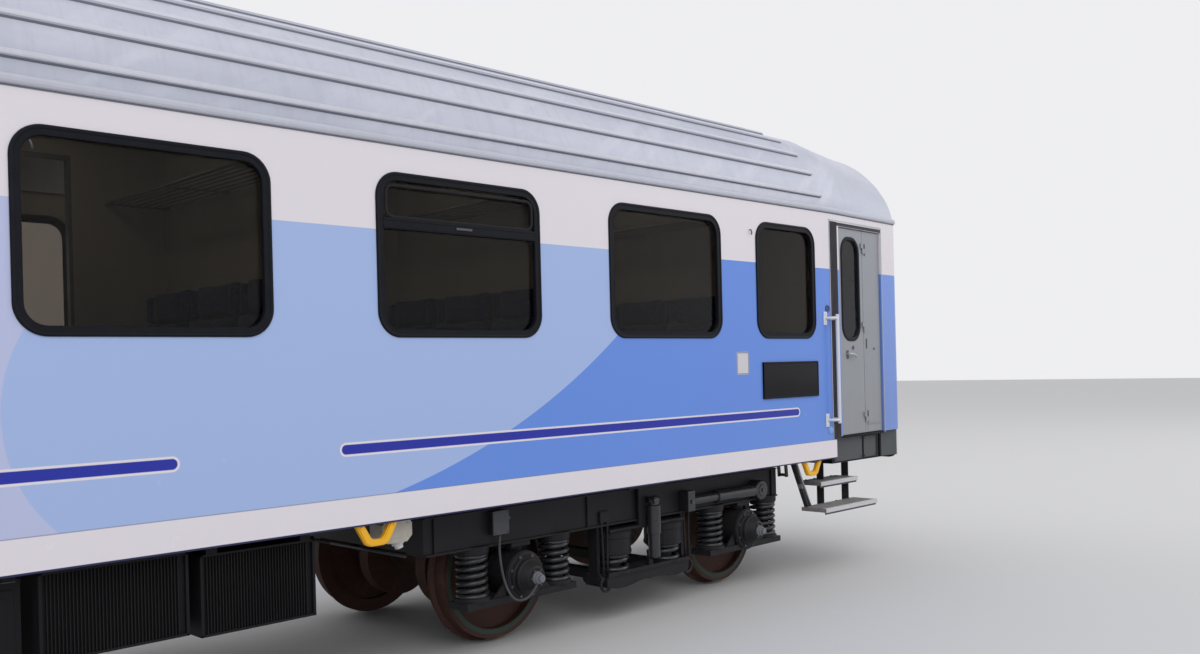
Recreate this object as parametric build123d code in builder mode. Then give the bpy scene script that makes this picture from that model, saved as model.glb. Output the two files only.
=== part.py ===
from build123d import *
import os
from math import asin, atan2, cos, degrees, hypot, radians, sin, sqrt

os.makedirs("parts", exist_ok=True)

# A four-axle passenger coach. X runs along the coach, Y across it, Z up, in millimetres.
# Zero is the lowest point of the wheel flanges, below the middle of the coach.
# Heights are given from the rail head and written as rail plus the height.

# Main sizes
flange_depth = 28
rail = flange_depth
buffer_face_x = 12250
body_end_x = 12080
pivot_x = 8600
wheelbase = 2500
body_half_width = 1412.5
gutter_z = rail + 3139
skirt_z = rail + 995
floor_z = rail + 1250
floor_thickness = 50
wall = 60
# Gap between a piece and the seat that holds it
seat_gap = 0.3
# Clearance between a moving piece and what it passes
clearance = 6

# Roof: a corner arc and a crown arc on each section; the ends drop and draw in
roof_wall = 60
roof_inset = 27.5
roof_top_z = rail + 4030
roof_corner_radius = 800
roof_lean = 0
roof_end_top_z = rail + 3950
roof_end_radius = 1050
roof_end_lean = 14
roof_straight_x = 10900
bulkhead = 60
rib_height = 20
rib_width = 34
# Ribs on the crown: distance from the middle, end along X
crown_rib_table = ((672, 10200), (476, 10150), (280, 10120), (92, 10100))
# Seams between the roof panels, from the centre line
roof_seam_table = (775, 1240)
gutter_width = 26
gutter_height = 22

# Tapered end with the entrance doors
taper_start_x = 10780
end_half_width = 1335
end_corner_radius = 120
door_inner_x = 10890
door_outer_x = 11700
door_sill_z = rail + 1180
door_top_z = rail + 3035

# Windows
window_bottom_z = rail + 2040
window_height = 945
window_radius = 150
frame_face = 45
frame_proud = 6
frame_depth = 26
hopper_bar_z = rail + 2690
hopper_bar_height = 62
pane_thickness = 8
pane_inset = 20
pane_chamfer = 80
bay_pitch = 1900
bay_window_width = 1255
small_window_x = 10060
small_window_width = 855
# Bay windows by number from the middle; the ones with a hinged pane over a bar
bay_windows = (0.5, 1.5, 2.5, 3.5, 4.5)
hopper_bays = (3.5,)

# Gangway in the end wall
gangway_half_width = 430
gangway_top_z = rail + 3180
tube_radius = 80
tube_y = 570
tube_top_z = rail + 3330
tube_bottom_z = rail + 1260
tube_bend = 170
gangway_leaf = 35
gangway_leaf_gap = 15
gangway_overlap = 25
gangway_rail_height = 40

# Underframe
solebar_top_z = floor_z - floor_thickness
solebar_bottom_z = rail + 1000
solebar_width = 190
solebar_end_x = 10700
bearer_bottom_z = rail + 985
headstock_x = 11860
headstock_depth = 130
headstock_half_width = 1290
headstock_bottom_z = rail + 930
centre_sill_half = 330
sill_web = 60
crossbar_width = 90
pivot_pin_radius = 80
pivot_pin_bottom_z = rail + 800

# Buffers and draw gear
buffer_z = rail + 1060
buffer_y = 875
buffer_head_width = 600
buffer_head_height = 350
buffer_head_thickness = 40
hook_z = rail + 1045

# Entrance doors: a narrow leaf hinged on the end post carries the wide leaf with the window
leaf_recess = 18
leaf_thickness = 40
leaf_gap = 7
fold_x = 11362
leaf_window_width = 290
leaf_window_height = 880
leaf_window_radius = 115
leaf_window_bottom_z = rail + 2050

# Steps below the doors
well_bottom_z = rail + 930
plate = 10
tread = 32

# Bogies
wheel_radius = 460
tread_width = 135
wheel_back = 680
axle_z = rail + wheel_radius
axle_radius = 82
journal_radius = 65
axle_box_y = 1000
axle_box_radius = 165
axle_box_width = 200
box_cap_radius = 100
box_cap_end = 1165
frame_inner_end = 2060
frame_outer_end = 1720
frame_y = 990
frame_width = 180
frame_top_z = rail + 925
frame_bottom_z = rail + 705
spring_offset = 370
spring_radius = 110
spring_seat_top_z = rail + 345
spring_seat_thickness = 45
bolster_half = 205
bolster_bottom_z = rail + 735
plank_z = rail + 262
plank_thickness = 70
can_radius = 135
can_bottom_z = rail + 465
can_x = 290
disc_radius = 305
disc_y = 350
disc_thickness = 110

# Bogie parts
crossbeam_x = 385
crossbeam_width = 150
hanger_thickness = 30
hanger_width = 90
plank_half_length = 460
plank_width = 230
plank_tie_x = 300
plank_tie_width = 90
bolster_inner_y = 870
bolster_outer_y = 1115
bolster_top_z = rail + 975
bolster_plate = 20
can_top_z = rail + 640
can_plate_half = 420
stirrup_x = 65
stirrup_width = 80
bearer_y = 930
bearer_radius = 90
body_bolster_width = 300
damper_x = 20
damper_y = 1152
damper_radius = 32
damper_lug = 44
damper_bottom_z = rail + 410
damper_top_z = rail + 855
yaw_damper_start = 430
yaw_damper_end = 1410
yaw_damper_y = 1130
yaw_damper_z = rail + 778
junction_x = -1475
junction_z = rail + 846
junction_width = 130
junction_height = 150
junction_depth = 50
journal_end = 1085
cheek = 30
caliper_x = 200
caliper_z = 755
caliper_length = 180
caliper_height = 60
# Brake cheek outline: from the cross beam towards the axle, height above the rail
cheek_outline = ((0, 720), (0, 800), (430, 800), (640, 560), (640, 400), (490, 400), (490, 560), (380, 720))
# Wheelset outline: distance along the axle, radius
wheelset_profile = (
    (0, axle_radius),
    (disc_y - disc_thickness / 2, axle_radius),
    (disc_y - disc_thickness / 2, disc_radius),
    (disc_y + disc_thickness / 2, disc_radius),
    (disc_y + disc_thickness / 2, axle_radius),
    (wheel_back - 10, axle_radius),
    (wheel_back - 10, 125),
    (wheel_back + 45, 130),
    (wheel_back + 45, 395),
    (wheel_back, 395),
    (wheel_back, wheel_radius + flange_depth),
    (wheel_back + 22, wheel_radius + flange_depth),
    (wheel_back + 34, wheel_radius),
    (wheel_back + tread_width, wheel_radius),
    (wheel_back + tread_width, 395),
    (wheel_back + 80, 395),
    (wheel_back + 80, 130),
    (wheel_back + 160, 125),
    (wheel_back + 160, journal_radius),
    (journal_end, journal_radius),
)

# Interior
ceiling_z = rail + 3400
ceiling_thickness = 20
ceiling_half_width = 1225
vestibule_wall_x = 10600
cabin_half = body_half_width - wall - seat_gap
cabin_lean_z = rail + 2980
cabin_top_half = 1230
corridor_y = 560
partition_thickness = 40
inner_door_width = 660
inner_door_height = 1990
vestibule_opening = 620
# Bench outline: distance from the partition, height over the floor
bench_profile = ((0, 0), (430, 0), (430, 330), (600, 350), (610, 470), (170, 450), (120, 1150), (0, 1150))
rack_depth = 380
rack_cabin_y = 1300
rack_z = floor_z + 1700
rack_thickness = 30

# Step boxes, steps and outside fittings
well_outer_y = 1290
well_inner_y = 930
sill_edge_y = 1350
sill_plate = 20
# Treads: start and end along X, front edge, back edge, top
tread_table = (
    (10600, 11460, 1400, 1150, rail + 565),
    (10780, 11400, 1240, 1000, rail + 770),
)
hanger_places = (10960, 11380)
step_hanger_width = 70
step_hanger_y = tread_table[0][3] - seat_gap - step_hanger_width / 2
# Brace to the side sill: points along X and height
brace_points = (
    (10400, rail + 1000 - seat_gap),
    (10450, rail + 1000 - seat_gap),
    (10680, tread_table[0][4] + seat_gap),
    (10620, tread_table[0][4] + seat_gap),
)
brace_y = 1165
brace_thickness = 40
handrail_x = 10728
handrail_y = 1475
handrail_radius = 16
handrail_bottom_z = rail + 1310
handrail_top_z = rail + 2245
handrail_foot = 26
lifting_places = (5993, 10413)
bracket_thickness = 25
bracket_outline = ((-141, 0), (141, 0), (60, -125), (-60, -125))
bracket_opening = ((-58, 1), (58, 1), (42, -88), (-42, -88))
panel_x = 10090
panel_z = rail + 1701
panel_width = 800
panel_height = 298
panel_thickness = 12
socket_x = 6182
socket_width = 205
socket_bottom_z = rail + 858
socket_inner_y = 1190
socket_depth = 130
socket_chamfer = 35
end_box_end_x = 12050
end_box_width = 160
# Cross members between the body bolsters, and beyond them on both sides of the centre sills
crossbar_places = [k * 950 for k in range(-7, 8)] + [-7600, 7600]
end_crossbar_places = (9650, 10500)

# Buffers, hook, gangway and end fittings
buffer_base_width = 340
buffer_base_height = 270
buffer_base_thickness = 25
buffer_head_radius = 60
# Start along X, length, radius
buffer_rounds = ((11880, 200, 105), (12070, 145, 88))
hook_thickness = 50
hook_outline = (
    (0, -45),
    (0, 45),
    (150, 38),
    (230, 62),
    (290, 45),
    (310, 0),
    (280, -50),
    (230, -55),
    (222, -35),
    (255, -15),
    (240, 12),
    (200, -5),
    (150, -38),
)
link_y = 45
link_thickness = 14
link_outline = ((92, 22), (130, 22), (172, -400), (128, -400))
link_pin = (110, 0)
link_bar = (150, -380)
link_pin_radius = 16
tube_strip = 60
footplate_end_x = 12200
footplate_half_width = 460
footplate_thickness = 15
lamp_y = 1060
lamp_z = rail + 1850
lamp_radius = 75
lamp_depth = 30
gangway_rail_depth = 60
gangway_rail_half = 900
gangway_leaf_top_z = rail + 3200

# Door leaf details; the hinges' axes stand off the leaves' faces
hinge_radius = 7
hinge_stand = 8
hinge_flap = 34
hinge_height = 45
post_hinge_x = -3.5
post_hinge_depth = leaf_recess + leaf_thickness + 10
hinge_heights = (rail + 1330, rail + 2150, rail + 2870)
fold_gap = 3
leaf_tip_gap = 12.5
leaf_glass_inset = 12

# Underfloor boxes: start and end along X, side, inner and outer Y, bottom, top
box_table = (
    (4230, 4930, -1, 640, 1300, rail + 565, rail + 978),
    (4990, 5640, -1, 640, 1300, rail + 537, rail + 951),
    (2450, 4170, -1, 560, 1270, rail + 470, rail + 960),
    (-600, 1500, -1, 560, 1270, rail + 480, rail + 960),
    (-3700, -1700, -1, 620, 1280, rail + 520, rail + 960),
    (-5640, -4230, -1, 640, 1300, rail + 540, rail + 960),
    (4230, 5640, 1, 640, 1300, rail + 540, rail + 960),
    (1300, 3300, 1, 560, 1270, rail + 480, rail + 960),
    (-2300, 300, 1, 560, 1270, rail + 470, rail + 960),
    (-5640, -3300, 1, 640, 1300, rail + 540, rail + 960),
)
box_lug = 60
reservoir_radius = 190
reservoir_z = rail + 760
reservoir_saddle = 175
# Start along X, Y, length
reservoir_table = ((1725, 0, 1300), (-2075, 0, 1300), (-5875, 0, 1300))

taper_slope = (body_half_width - end_half_width) / (body_end_x - taper_start_x)
taper_cos = 1 / hypot(1, taper_slope)
taper_sin = taper_slope * taper_cos


def wall_y(x):
    """Half width of the outer side face at a place along the coach"""
    return body_half_width - max(0, x - taper_start_x) * taper_slope


def export(name, shape):
    """Labels a finished piece and writes it"""
    shape.label = name
    export_step(shape, f"parts/{name}.step")


def at_end(shape, end):
    """The same piece at the front end, or turned over to the rear end"""
    return shape if end > 0 else mirror(shape, about=Plane.YZ)


def at_side(shape, side):
    """The same piece on the near side, or turned over to the far side"""
    return shape if side < 0 else mirror(shape, about=Plane.XZ)


# Ends and sides: name, sign
ends = (("front", 1), ("rear", -1))
sides = (("near", -1), ("far", 1))


def door_level(z):
    """A level plane at the outboard post of the near front door: X outboard along the wall, Y inwards"""
    corner = (door_outer_x, -wall_y(door_outer_x), z)
    return Plane(origin=corner, x_dir=(taper_cos, taper_sin, 0), z_dir=(0, 0, 1))


# Side walls
window_table = [(sign * bay * bay_pitch, bay_window_width) for bay in bay_windows for sign in (-1, 1)]
window_table += [(sign * small_window_x, small_window_width) for sign in (-1, 1)]
window_mid_z = window_bottom_z + window_height / 2
hopper_places = [sign * bay * bay_pitch for bay in hopper_bays for sign in (-1, 1)]

with BuildPart() as side_walls:
    with BuildSketch(Plane.XZ.offset(body_half_width - wall)):
        with Locations((0, (skirt_z + gutter_z) / 2)):
            Rectangle(2 * taper_start_x, gutter_z - skirt_z)
        for x, width in window_table:
            with Locations((x, window_mid_z)):
                RectangleRounded(width, window_height, window_radius, mode=Mode.SUBTRACT)
    extrude(amount=wall)
    mirror(about=Plane.XZ)
export("side_walls", side_walls.part)

# Window frames, set in the holes and standing a little proud; some have a bar and a hinged pane above it
with BuildPart() as window_frames:
    with BuildSketch(Plane.XZ.offset(body_half_width + frame_proud)):
        for x, width in window_table:
            with Locations((x, window_mid_z)):
                RectangleRounded(
                    width - 2 * seat_gap,
                    window_height - 2 * seat_gap,
                    window_radius - seat_gap,
                )
                RectangleRounded(
                    width - 2 * frame_face,
                    window_height - 2 * frame_face,
                    window_radius - frame_face,
                    mode=Mode.SUBTRACT,
                )
        for x in hopper_places:
            with Locations((x, hopper_bar_z)):
                Rectangle(bay_window_width - 2 * frame_face + 2, hopper_bar_height)
    extrude(amount=-(frame_proud + frame_depth))
    mirror(about=Plane.XZ)
export("window_frames", window_frames.part)

# Window panes, seated on the inner faces of the frames
pane_y = body_half_width - frame_depth - seat_gap
with BuildPart() as window_glass:
    with BuildSketch(Plane.XZ.offset(pane_y)):
        for x, width in window_table:
            with Locations((x, window_mid_z)):
                pane = Rectangle(width - 2 * pane_inset, window_height - 2 * pane_inset)
                chamfer(pane.vertices(), pane_chamfer)
    extrude(amount=-pane_thickness)
    mirror(about=Plane.XZ)
export("window_glass", window_glass.part)

# End walls: the tapered sides with the doorways, the end posts and the wall with the gangway
with BuildPart() as end_walls:
    with BuildSketch(Plane.XY.offset(door_sill_z)):
        with BuildLine():
            Polyline(
                (taper_start_x, -body_half_width),
                (body_end_x, -end_half_width),
                (body_end_x, end_half_width),
                (taper_start_x, body_half_width),
                close=True,
            )
        outline = make_face()
        fillet(outline.vertices().group_by(Axis.X)[-1], end_corner_radius)
        with BuildLine():
            Polyline(
                (taper_start_x, -wall_y(taper_start_x) + wall),
                (body_end_x - wall, -wall_y(body_end_x - wall) + wall),
                (body_end_x - wall, wall_y(body_end_x - wall) - wall),
                (taper_start_x, wall_y(taper_start_x) - wall),
                close=True,
            )
        make_face(mode=Mode.SUBTRACT)
    extrude(amount=gutter_z - door_sill_z)
    with BuildSketch(Plane.XZ):
        with Locations(((door_inner_x + door_outer_x) / 2, (door_sill_z + door_top_z) / 2)):
            Rectangle(door_outer_x - door_inner_x, door_top_z - door_sill_z)
    extrude(amount=body_half_width, both=True, mode=Mode.SUBTRACT)
    with BuildSketch(Plane.YZ.offset(body_end_x - wall)):
        with Locations((0, (floor_z + gangway_top_z) / 2)):
            Rectangle(2 * gangway_half_width, gangway_top_z - floor_z)
    extrude(amount=wall, mode=Mode.SUBTRACT)
    # Lower knuckles of the door hinges
    for z in hinge_heights:
        with BuildSketch(door_level(z - hinge_height)):
            with Locations((post_hinge_x, post_hinge_depth)):
                Circle(hinge_radius)
            with Locations(((post_hinge_x + hinge_flap) / 2, (wall + post_hinge_depth + hinge_radius) / 2)):
                Rectangle(hinge_flap - post_hinge_x, post_hinge_depth + hinge_radius - wall)
        knuckle = extrude(amount=hinge_height)
        mirror(knuckle, about=Plane.XZ)
    mirror(about=Plane.YZ)
export("end_walls", end_walls.part)


# Roof
def crown_of(half_width, top_z, radius, lean):
    """Centre of the corner arc, and the crown arc's radius and centre height"""
    centre_y = half_width - radius * cos(radians(lean))
    centre_z = gutter_z - radius * sin(radians(lean))
    drop = centre_z - top_z
    crown_radius = (radius**2 - centre_y**2 - drop**2) / (2 * (drop + radius))
    return centre_y, centre_z, crown_radius, top_z - crown_radius


def roof_face(section, inset):
    """Closed outline of a roof section, drawn in from the outer face by the inset"""
    half_width, top_z, radius, lean = section
    centre_y, centre_z, crown_radius, crown_z = crown_of(*section)
    inner = radius - inset
    foot_y = centre_y + sqrt(inner**2 - (gutter_z - centre_z) ** 2)
    foot_angle = atan2(gutter_z - centre_z, foot_y - centre_y)
    joint_angle = atan2(centre_z - crown_z, centre_y)
    middle_angle = (foot_angle + joint_angle) / 2
    foot = (foot_y, gutter_z)
    middle = (centre_y + inner * cos(middle_angle), centre_z + inner * sin(middle_angle))
    joint = (centre_y + inner * cos(joint_angle), centre_z + inner * sin(joint_angle))
    with BuildLine() as arch:
        ThreePointArc(foot, middle, joint)
        ThreePointArc(joint, (0, top_z - inset), (-joint[0], joint[1]))
        ThreePointArc((-joint[0], joint[1]), (-middle[0], middle[1]), (-foot[0], foot[1]))
        Line((-foot[0], foot[1]), foot)
    return arch.edges()


roof_half_width = body_half_width - roof_inset
roof_end_half_width = wall_y(body_end_x - bulkhead) - roof_inset
# Half width, top, corner radius, lean of the corner arc's foot
main_section = (roof_half_width, roof_top_z, roof_corner_radius, roof_lean)
end_section = (roof_end_half_width, roof_end_top_z, roof_end_radius, roof_end_lean)
corner_y, corner_z, crown_radius, crown_z = crown_of(*main_section)
# Ribs: angle from the vertical, end along X; the last ones lie on the crown
corner_ribs = ((79, 10600), (64.5, 10520), (50, 10420), (35.5, 10320), (21, 10250))
crown_ribs = [(degrees(asin(y / crown_radius)), end) for y, end in crown_rib_table]
# Distance and height of the arc's centre, its radius, angle, end
rib_rows = [(corner_y, corner_z, roof_corner_radius, angle, end) for angle, end in corner_ribs]
rib_rows += [(0, crown_z, crown_radius, angle, end) for angle, end in crown_ribs]

with BuildPart() as roof:
    with BuildSketch(Plane.YZ):
        make_face(roof_face(main_section, 0))
        make_face(roof_face(main_section, roof_wall), mode=Mode.SUBTRACT)
    extrude(amount=roof_straight_x)
    with BuildSketch(Plane.YZ.offset(roof_straight_x)):
        make_face(roof_face(main_section, 0))
        make_face(roof_face(main_section, roof_wall), mode=Mode.SUBTRACT)
    with BuildSketch(Plane.YZ.offset(body_end_x - bulkhead)):
        make_face(roof_face(end_section, 0))
        make_face(roof_face(end_section, roof_wall), mode=Mode.SUBTRACT)
    loft(ruled=True)
    with BuildSketch(Plane.YZ.offset(body_end_x - bulkhead)):
        make_face(roof_face(end_section, 0))
        with Locations((0, (gutter_z + gangway_top_z) / 2)):
            Rectangle(2 * gangway_half_width, gangway_top_z - gutter_z, mode=Mode.SUBTRACT)
    extrude(amount=bulkhead)
    for side in (-1, 1):
        for centre_y, centre_z, radius, angle, end_x in rib_rows:
            rib_y = centre_y + radius * sin(radians(angle))
            rib_z = centre_z + radius * cos(radians(angle))
            rib_plane = Plane(
                origin=(0, side * rib_y, rib_z),
                x_dir=(0, cos(radians(angle)), -side * sin(radians(angle))),
                z_dir=(1, 0, 0),
            )
            with BuildSketch(rib_plane):
                Rectangle(rib_width, 2 * rib_height)
            extrude(amount=end_x)
        with BuildSketch(Plane.YZ):
            with Locations((side * (roof_half_width + gutter_width / 2 - 8), gutter_z + gutter_height / 2)):
                Rectangle(gutter_width, gutter_height)
        extrude(amount=roof_straight_x)
    # The rounded corners of the end wall carry on through the roof
    with BuildSketch(Plane.XY.offset(gutter_z)):
        with BuildLine():
            Polyline(
                (0, -body_half_width),
                (taper_start_x, -body_half_width),
                (body_end_x, -end_half_width),
                (body_end_x, end_half_width),
                (taper_start_x, body_half_width),
                (0, body_half_width),
                close=True,
            )
        plan = make_face()
        fillet(plan.vertices().group_by(Axis.X)[-1], end_corner_radius)
    extrude(amount=roof_top_z + 2 * rib_height - gutter_z, mode=Mode.INTERSECT)
    mirror(about=Plane.YZ)
    # Seams along the roof, across it where the ends begin, and behind the end walls
    for side in (-1, 1):
        for y in roof_seam_table:
            with Locations((0, side * y, roof_top_z)):
                Box(2 * body_end_x, seat_gap, 2 * roof_top_z, mode=Mode.SUBTRACT)
        for x in (roof_straight_x, body_end_x - bulkhead):
            with Locations((side * x, 0, roof_top_z)):
                Box(seat_gap, 4 * body_half_width, 2 * roof_top_z, mode=Mode.SUBTRACT)
        for y in (-gangway_half_width, gangway_half_width):
            with Locations((side * body_end_x, y, roof_top_z)):
                Box(2 * (body_end_x - roof_straight_x), seat_gap, 2 * roof_top_z, mode=Mode.SUBTRACT)
export("roof", roof.part)

# Flat ceiling panels between the end partitions
with BuildPart() as ceiling:
    with BuildSketch(Plane.XY.offset(ceiling_z)):
        Rectangle(2 * (vestibule_wall_x - seat_gap), 2 * ceiling_half_width)
    extrude(amount=ceiling_thickness)
export("ceiling", ceiling.part)

# Floor panels, cut away over the step boxes
with BuildPart() as floor:
    with BuildSketch(Plane.XY.offset(floor_z - floor_thickness)):
        with BuildLine():
            inner = body_half_width - wall - seat_gap
            end_x = body_end_x - wall - seat_gap
            end_y = wall_y(end_x) - wall - seat_gap
            Polyline(
                (0, -inner),
                (taper_start_x, -inner),
                (end_x, -end_y),
                (end_x, end_y),
                (taper_start_x, inner),
                (0, inner),
                close=True,
            )
        make_face()
        with Locations(((door_inner_x + door_outer_x) / 2, 0)):
            Rectangle(door_outer_x - door_inner_x, 2 * body_half_width, mode=Mode.SUBTRACT)
            Rectangle(door_outer_x - door_inner_x - 2 * seat_gap, 2 * (well_inner_y - seat_gap))
    extrude(amount=floor_thickness)
    mirror(about=Plane.YZ)
export("floor", floor.part)

# Step boxes below the entrance doors: a closed box, the landing on it and a riser up to the floor
step_box_table = (
    # Start and end of each part across the coach, bottom and top
    (well_inner_y + plate + seat_gap, well_outer_y, well_bottom_z, door_sill_z - sill_plate - seat_gap),
    (well_inner_y + plate + seat_gap, sill_edge_y, door_sill_z - sill_plate, door_sill_z),
    (well_inner_y, well_inner_y + plate, well_bottom_z, floor_z),
)
with BuildPart() as step_boxes:
    for start_y, end_y, bottom_z, top_z in step_box_table:
        with BuildSketch(Plane.YZ.offset(door_inner_x + seat_gap)):
            with Locations((-(start_y + end_y) / 2, (bottom_z + top_z) / 2)):
                Rectangle(end_y - start_y, top_z - bottom_z)
        extrude(amount=door_outer_x - door_inner_x - 2 * seat_gap)
    mirror(about=Plane.XZ)
    mirror(about=Plane.YZ)
export("step_boxes", step_boxes.part)

# Underframe: side sills, cross members, and at each end a body bolster, centre sills and an end beam
sill_inner_y = body_half_width - wall - seat_gap - solebar_width
beam_reach = 2 * (sill_inner_y - seat_gap)
centre_sill_start = pivot_x + body_bolster_width / 2 + seat_gap
centre_sill_end = headstock_x - headstock_depth - seat_gap
side_bar_reach = sill_inner_y - centre_sill_half - 2 * seat_gap
with BuildPart() as underframe:
    with BuildSketch(Plane.XY.offset(solebar_bottom_z)):
        for side in (-1, 1):
            with Locations((0, side * (sill_inner_y + solebar_width / 2))):
                Rectangle(2 * solebar_end_x, solebar_width)
        for x in crossbar_places:
            with Locations((x, 0)):
                Rectangle(crossbar_width, beam_reach)
        for sign in (-1, 1):
            with Locations((sign * pivot_x, 0)):
                Rectangle(body_bolster_width, beam_reach)
            for side in (-1, 1):
                sill_y = side * (centre_sill_half - sill_web / 2)
                with Locations((sign * (centre_sill_start + centre_sill_end) / 2, sill_y)):
                    Rectangle(centre_sill_end - centre_sill_start, sill_web)
            for x in end_crossbar_places:
                with Locations((sign * x, 0)):
                    Rectangle(crossbar_width, 2 * (centre_sill_half - sill_web - seat_gap))
                for side in (-1, 1):
                    with Locations((sign * x, side * (sill_inner_y + centre_sill_half) / 2)):
                        Rectangle(crossbar_width, side_bar_reach)
    extrude(amount=solebar_top_z - seat_gap - solebar_bottom_z)
    with BuildSketch(Plane.XY.offset(bearer_bottom_z)):
        for sign in (-1, 1):
            with Locations((sign * pivot_x, 0)):
                Rectangle(body_bolster_width, 2 * (bearer_y + 130))
    extrude(amount=solebar_bottom_z - bearer_bottom_z)
    for sign in (-1, 1):
        with BuildSketch(Plane.XY.offset(pivot_pin_bottom_z)):
            with Locations((sign * pivot_x, 0)):
                Circle(pivot_pin_radius)
        extrude(amount=bearer_bottom_z - pivot_pin_bottom_z)
    with BuildSketch(Plane.XY.offset(headstock_bottom_z)):
        for sign in (-1, 1):
            with Locations((sign * (headstock_x - headstock_depth / 2), 0)):
                Rectangle(headstock_depth, 2 * headstock_half_width)
            for side in (-1, 1):
                box_y = side * (headstock_half_width - end_box_width / 2)
                with Locations((sign * (headstock_x + end_box_end_x) / 2, box_y)):
                    Rectangle(end_box_end_x - headstock_x, end_box_width)
    extrude(amount=door_sill_z - headstock_bottom_z)
    with BuildSketch(Plane.XY.offset(door_sill_z)):
        for sign in (-1, 1):
            with Locations((sign * (headstock_x - headstock_depth / 2), 0)):
                Rectangle(headstock_depth, 2 * (wall_y(headstock_x) - wall - 2))
    extrude(amount=floor_z - floor_thickness - seat_gap - door_sill_z)
export("underframe", underframe.part)

# Partitions: walls across at each bay, the corridor wall with doorways, walls to the vestibules
section_points = [
    (-cabin_half, floor_z + seat_gap),
    (-cabin_half, cabin_lean_z),
    (-cabin_top_half, ceiling_z - seat_gap),
    (corridor_y, ceiling_z - seat_gap),
    (corridor_y, floor_z + seat_gap),
]
end_wall_points = [
    (-cabin_half, floor_z + seat_gap),
    (-cabin_half, cabin_lean_z),
    (-cabin_top_half, ceiling_z + ceiling_thickness),
    (cabin_top_half, ceiling_z + ceiling_thickness),
    (cabin_half, cabin_lean_z),
    (cabin_half, floor_z + seat_gap),
]
vestibule_door_y = corridor_y + partition_thickness + vestibule_opening / 2 + 30
with BuildPart() as partitions:
    for x in [bay * bay_pitch for bay in range(-5, 6)]:
        with BuildSketch(Plane.YZ.offset(x - partition_thickness / 2)):
            with BuildLine():
                Polyline(*section_points, close=True)
            make_face()
        extrude(amount=partition_thickness)
    # The corridor wall is made of panels, with a lintel over each doorway
    with BuildSketch(Plane.XZ.offset(-corridor_y - seat_gap)):
        with Locations((0, (floor_z + ceiling_z) / 2)):
            Rectangle(2 * (vestibule_wall_x - seat_gap), ceiling_z - floor_z - 2 * seat_gap)
        for bay in range(-5, 5):
            door_x = (bay + 0.5) * bay_pitch
            with Locations((door_x, floor_z + inner_door_height / 2)):
                Rectangle(inner_door_width, inner_door_height, mode=Mode.SUBTRACT)
            for side in (-1, 1):
                with Locations((door_x + side * inner_door_width / 2, ceiling_z)):
                    Rectangle(seat_gap, ceiling_z - floor_z, mode=Mode.SUBTRACT)
    extrude(amount=-partition_thickness)
    for sign in (-1, 1):
        with BuildSketch(Plane.YZ.offset(sign * vestibule_wall_x)):
            with BuildLine():
                Polyline(*end_wall_points, close=True)
            make_face()
            with Locations((vestibule_door_y, floor_z + inner_door_height / 2)):
                Rectangle(vestibule_opening, inner_door_height, mode=Mode.SUBTRACT)
            for side in (-1, 1):
                with Locations((vestibule_door_y + side * vestibule_opening / 2, ceiling_z)):
                    Rectangle(seat_gap, ceiling_z - floor_z, mode=Mode.SUBTRACT)
        extrude(amount=sign * partition_thickness)
export("partitions", partitions.part)

# Bench seats, two facing each other in every compartment
bench_length = corridor_y + cabin_half - 2 * seat_gap
with BuildPart() as seats:
    for bay in range(-5, 6):
        for direction in (-1, 1):
            if abs(bay + 0.5 * direction) < 5:
                bench_x = bay * bay_pitch + direction * (partition_thickness / 2 + seat_gap)
                with BuildSketch(Plane.XZ.offset(-corridor_y + seat_gap)):
                    with BuildLine():
                        Polyline(
                            *[(bench_x + direction * x, floor_z + seat_gap + z) for x, z in bench_profile],
                            close=True,
                        )
                    make_face()
                extrude(amount=bench_length)
export("seats", seats.part)

# Luggage racks over the seats, held by the partitions
with BuildPart() as luggage_racks:
    for bay in range(-5, 6):
        for direction in (-1, 1):
            if abs(bay + 0.5 * direction) < 5:
                rack_x = bay * bay_pitch + direction * (partition_thickness / 2 + seat_gap + rack_depth / 2)
                with BuildSketch(Plane.XY.offset(rack_z)):
                    with Locations((rack_x, (corridor_y - rack_cabin_y) / 2)):
                        Rectangle(rack_depth, corridor_y + rack_cabin_y - 2 * seat_gap)
                extrude(amount=rack_thickness)
export("luggage_racks", luggage_racks.part)

# Handrails beside the entrance doors
with BuildPart() as handrails:
    with BuildSketch(Plane.XY.offset(handrail_bottom_z)):
        with Locations((handrail_x, -handrail_y)):
            Circle(handrail_radius)
    extrude(amount=handrail_top_z - handrail_bottom_z)
    for z in (handrail_bottom_z + handrail_foot, handrail_top_z - handrail_foot):
        with BuildSketch(Plane.XZ.offset(body_half_width + seat_gap)):
            with Locations((handrail_x, z)):
                Rectangle(2 * handrail_radius, 2 * handrail_radius)
        extrude(amount=handrail_y - handrail_radius - body_half_width - 2 * seat_gap)
    mirror(about=Plane.XZ)
    mirror(about=Plane.YZ)
export("handrails", handrails.part)

# Lifting brackets below the skirt
with BuildPart() as lifting_brackets:
    for x in lifting_places:
        with BuildSketch(Plane.XZ.offset(body_half_width - wall / 2 - bracket_thickness / 2)):
            with Locations((x, skirt_z - seat_gap)):
                with BuildLine():
                    Polyline(*[(x + dx, skirt_z - seat_gap + dz) for dx, dz in bracket_outline], close=True)
                make_face()
                with BuildLine():
                    Polyline(*[(x + dx, skirt_z - seat_gap + dz) for dx, dz in bracket_opening], close=True)
                make_face(mode=Mode.SUBTRACT)
        extrude(amount=bracket_thickness)
    mirror(about=Plane.XZ)
    mirror(about=Plane.YZ)
export("lifting_brackets", lifting_brackets.part)

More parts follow.
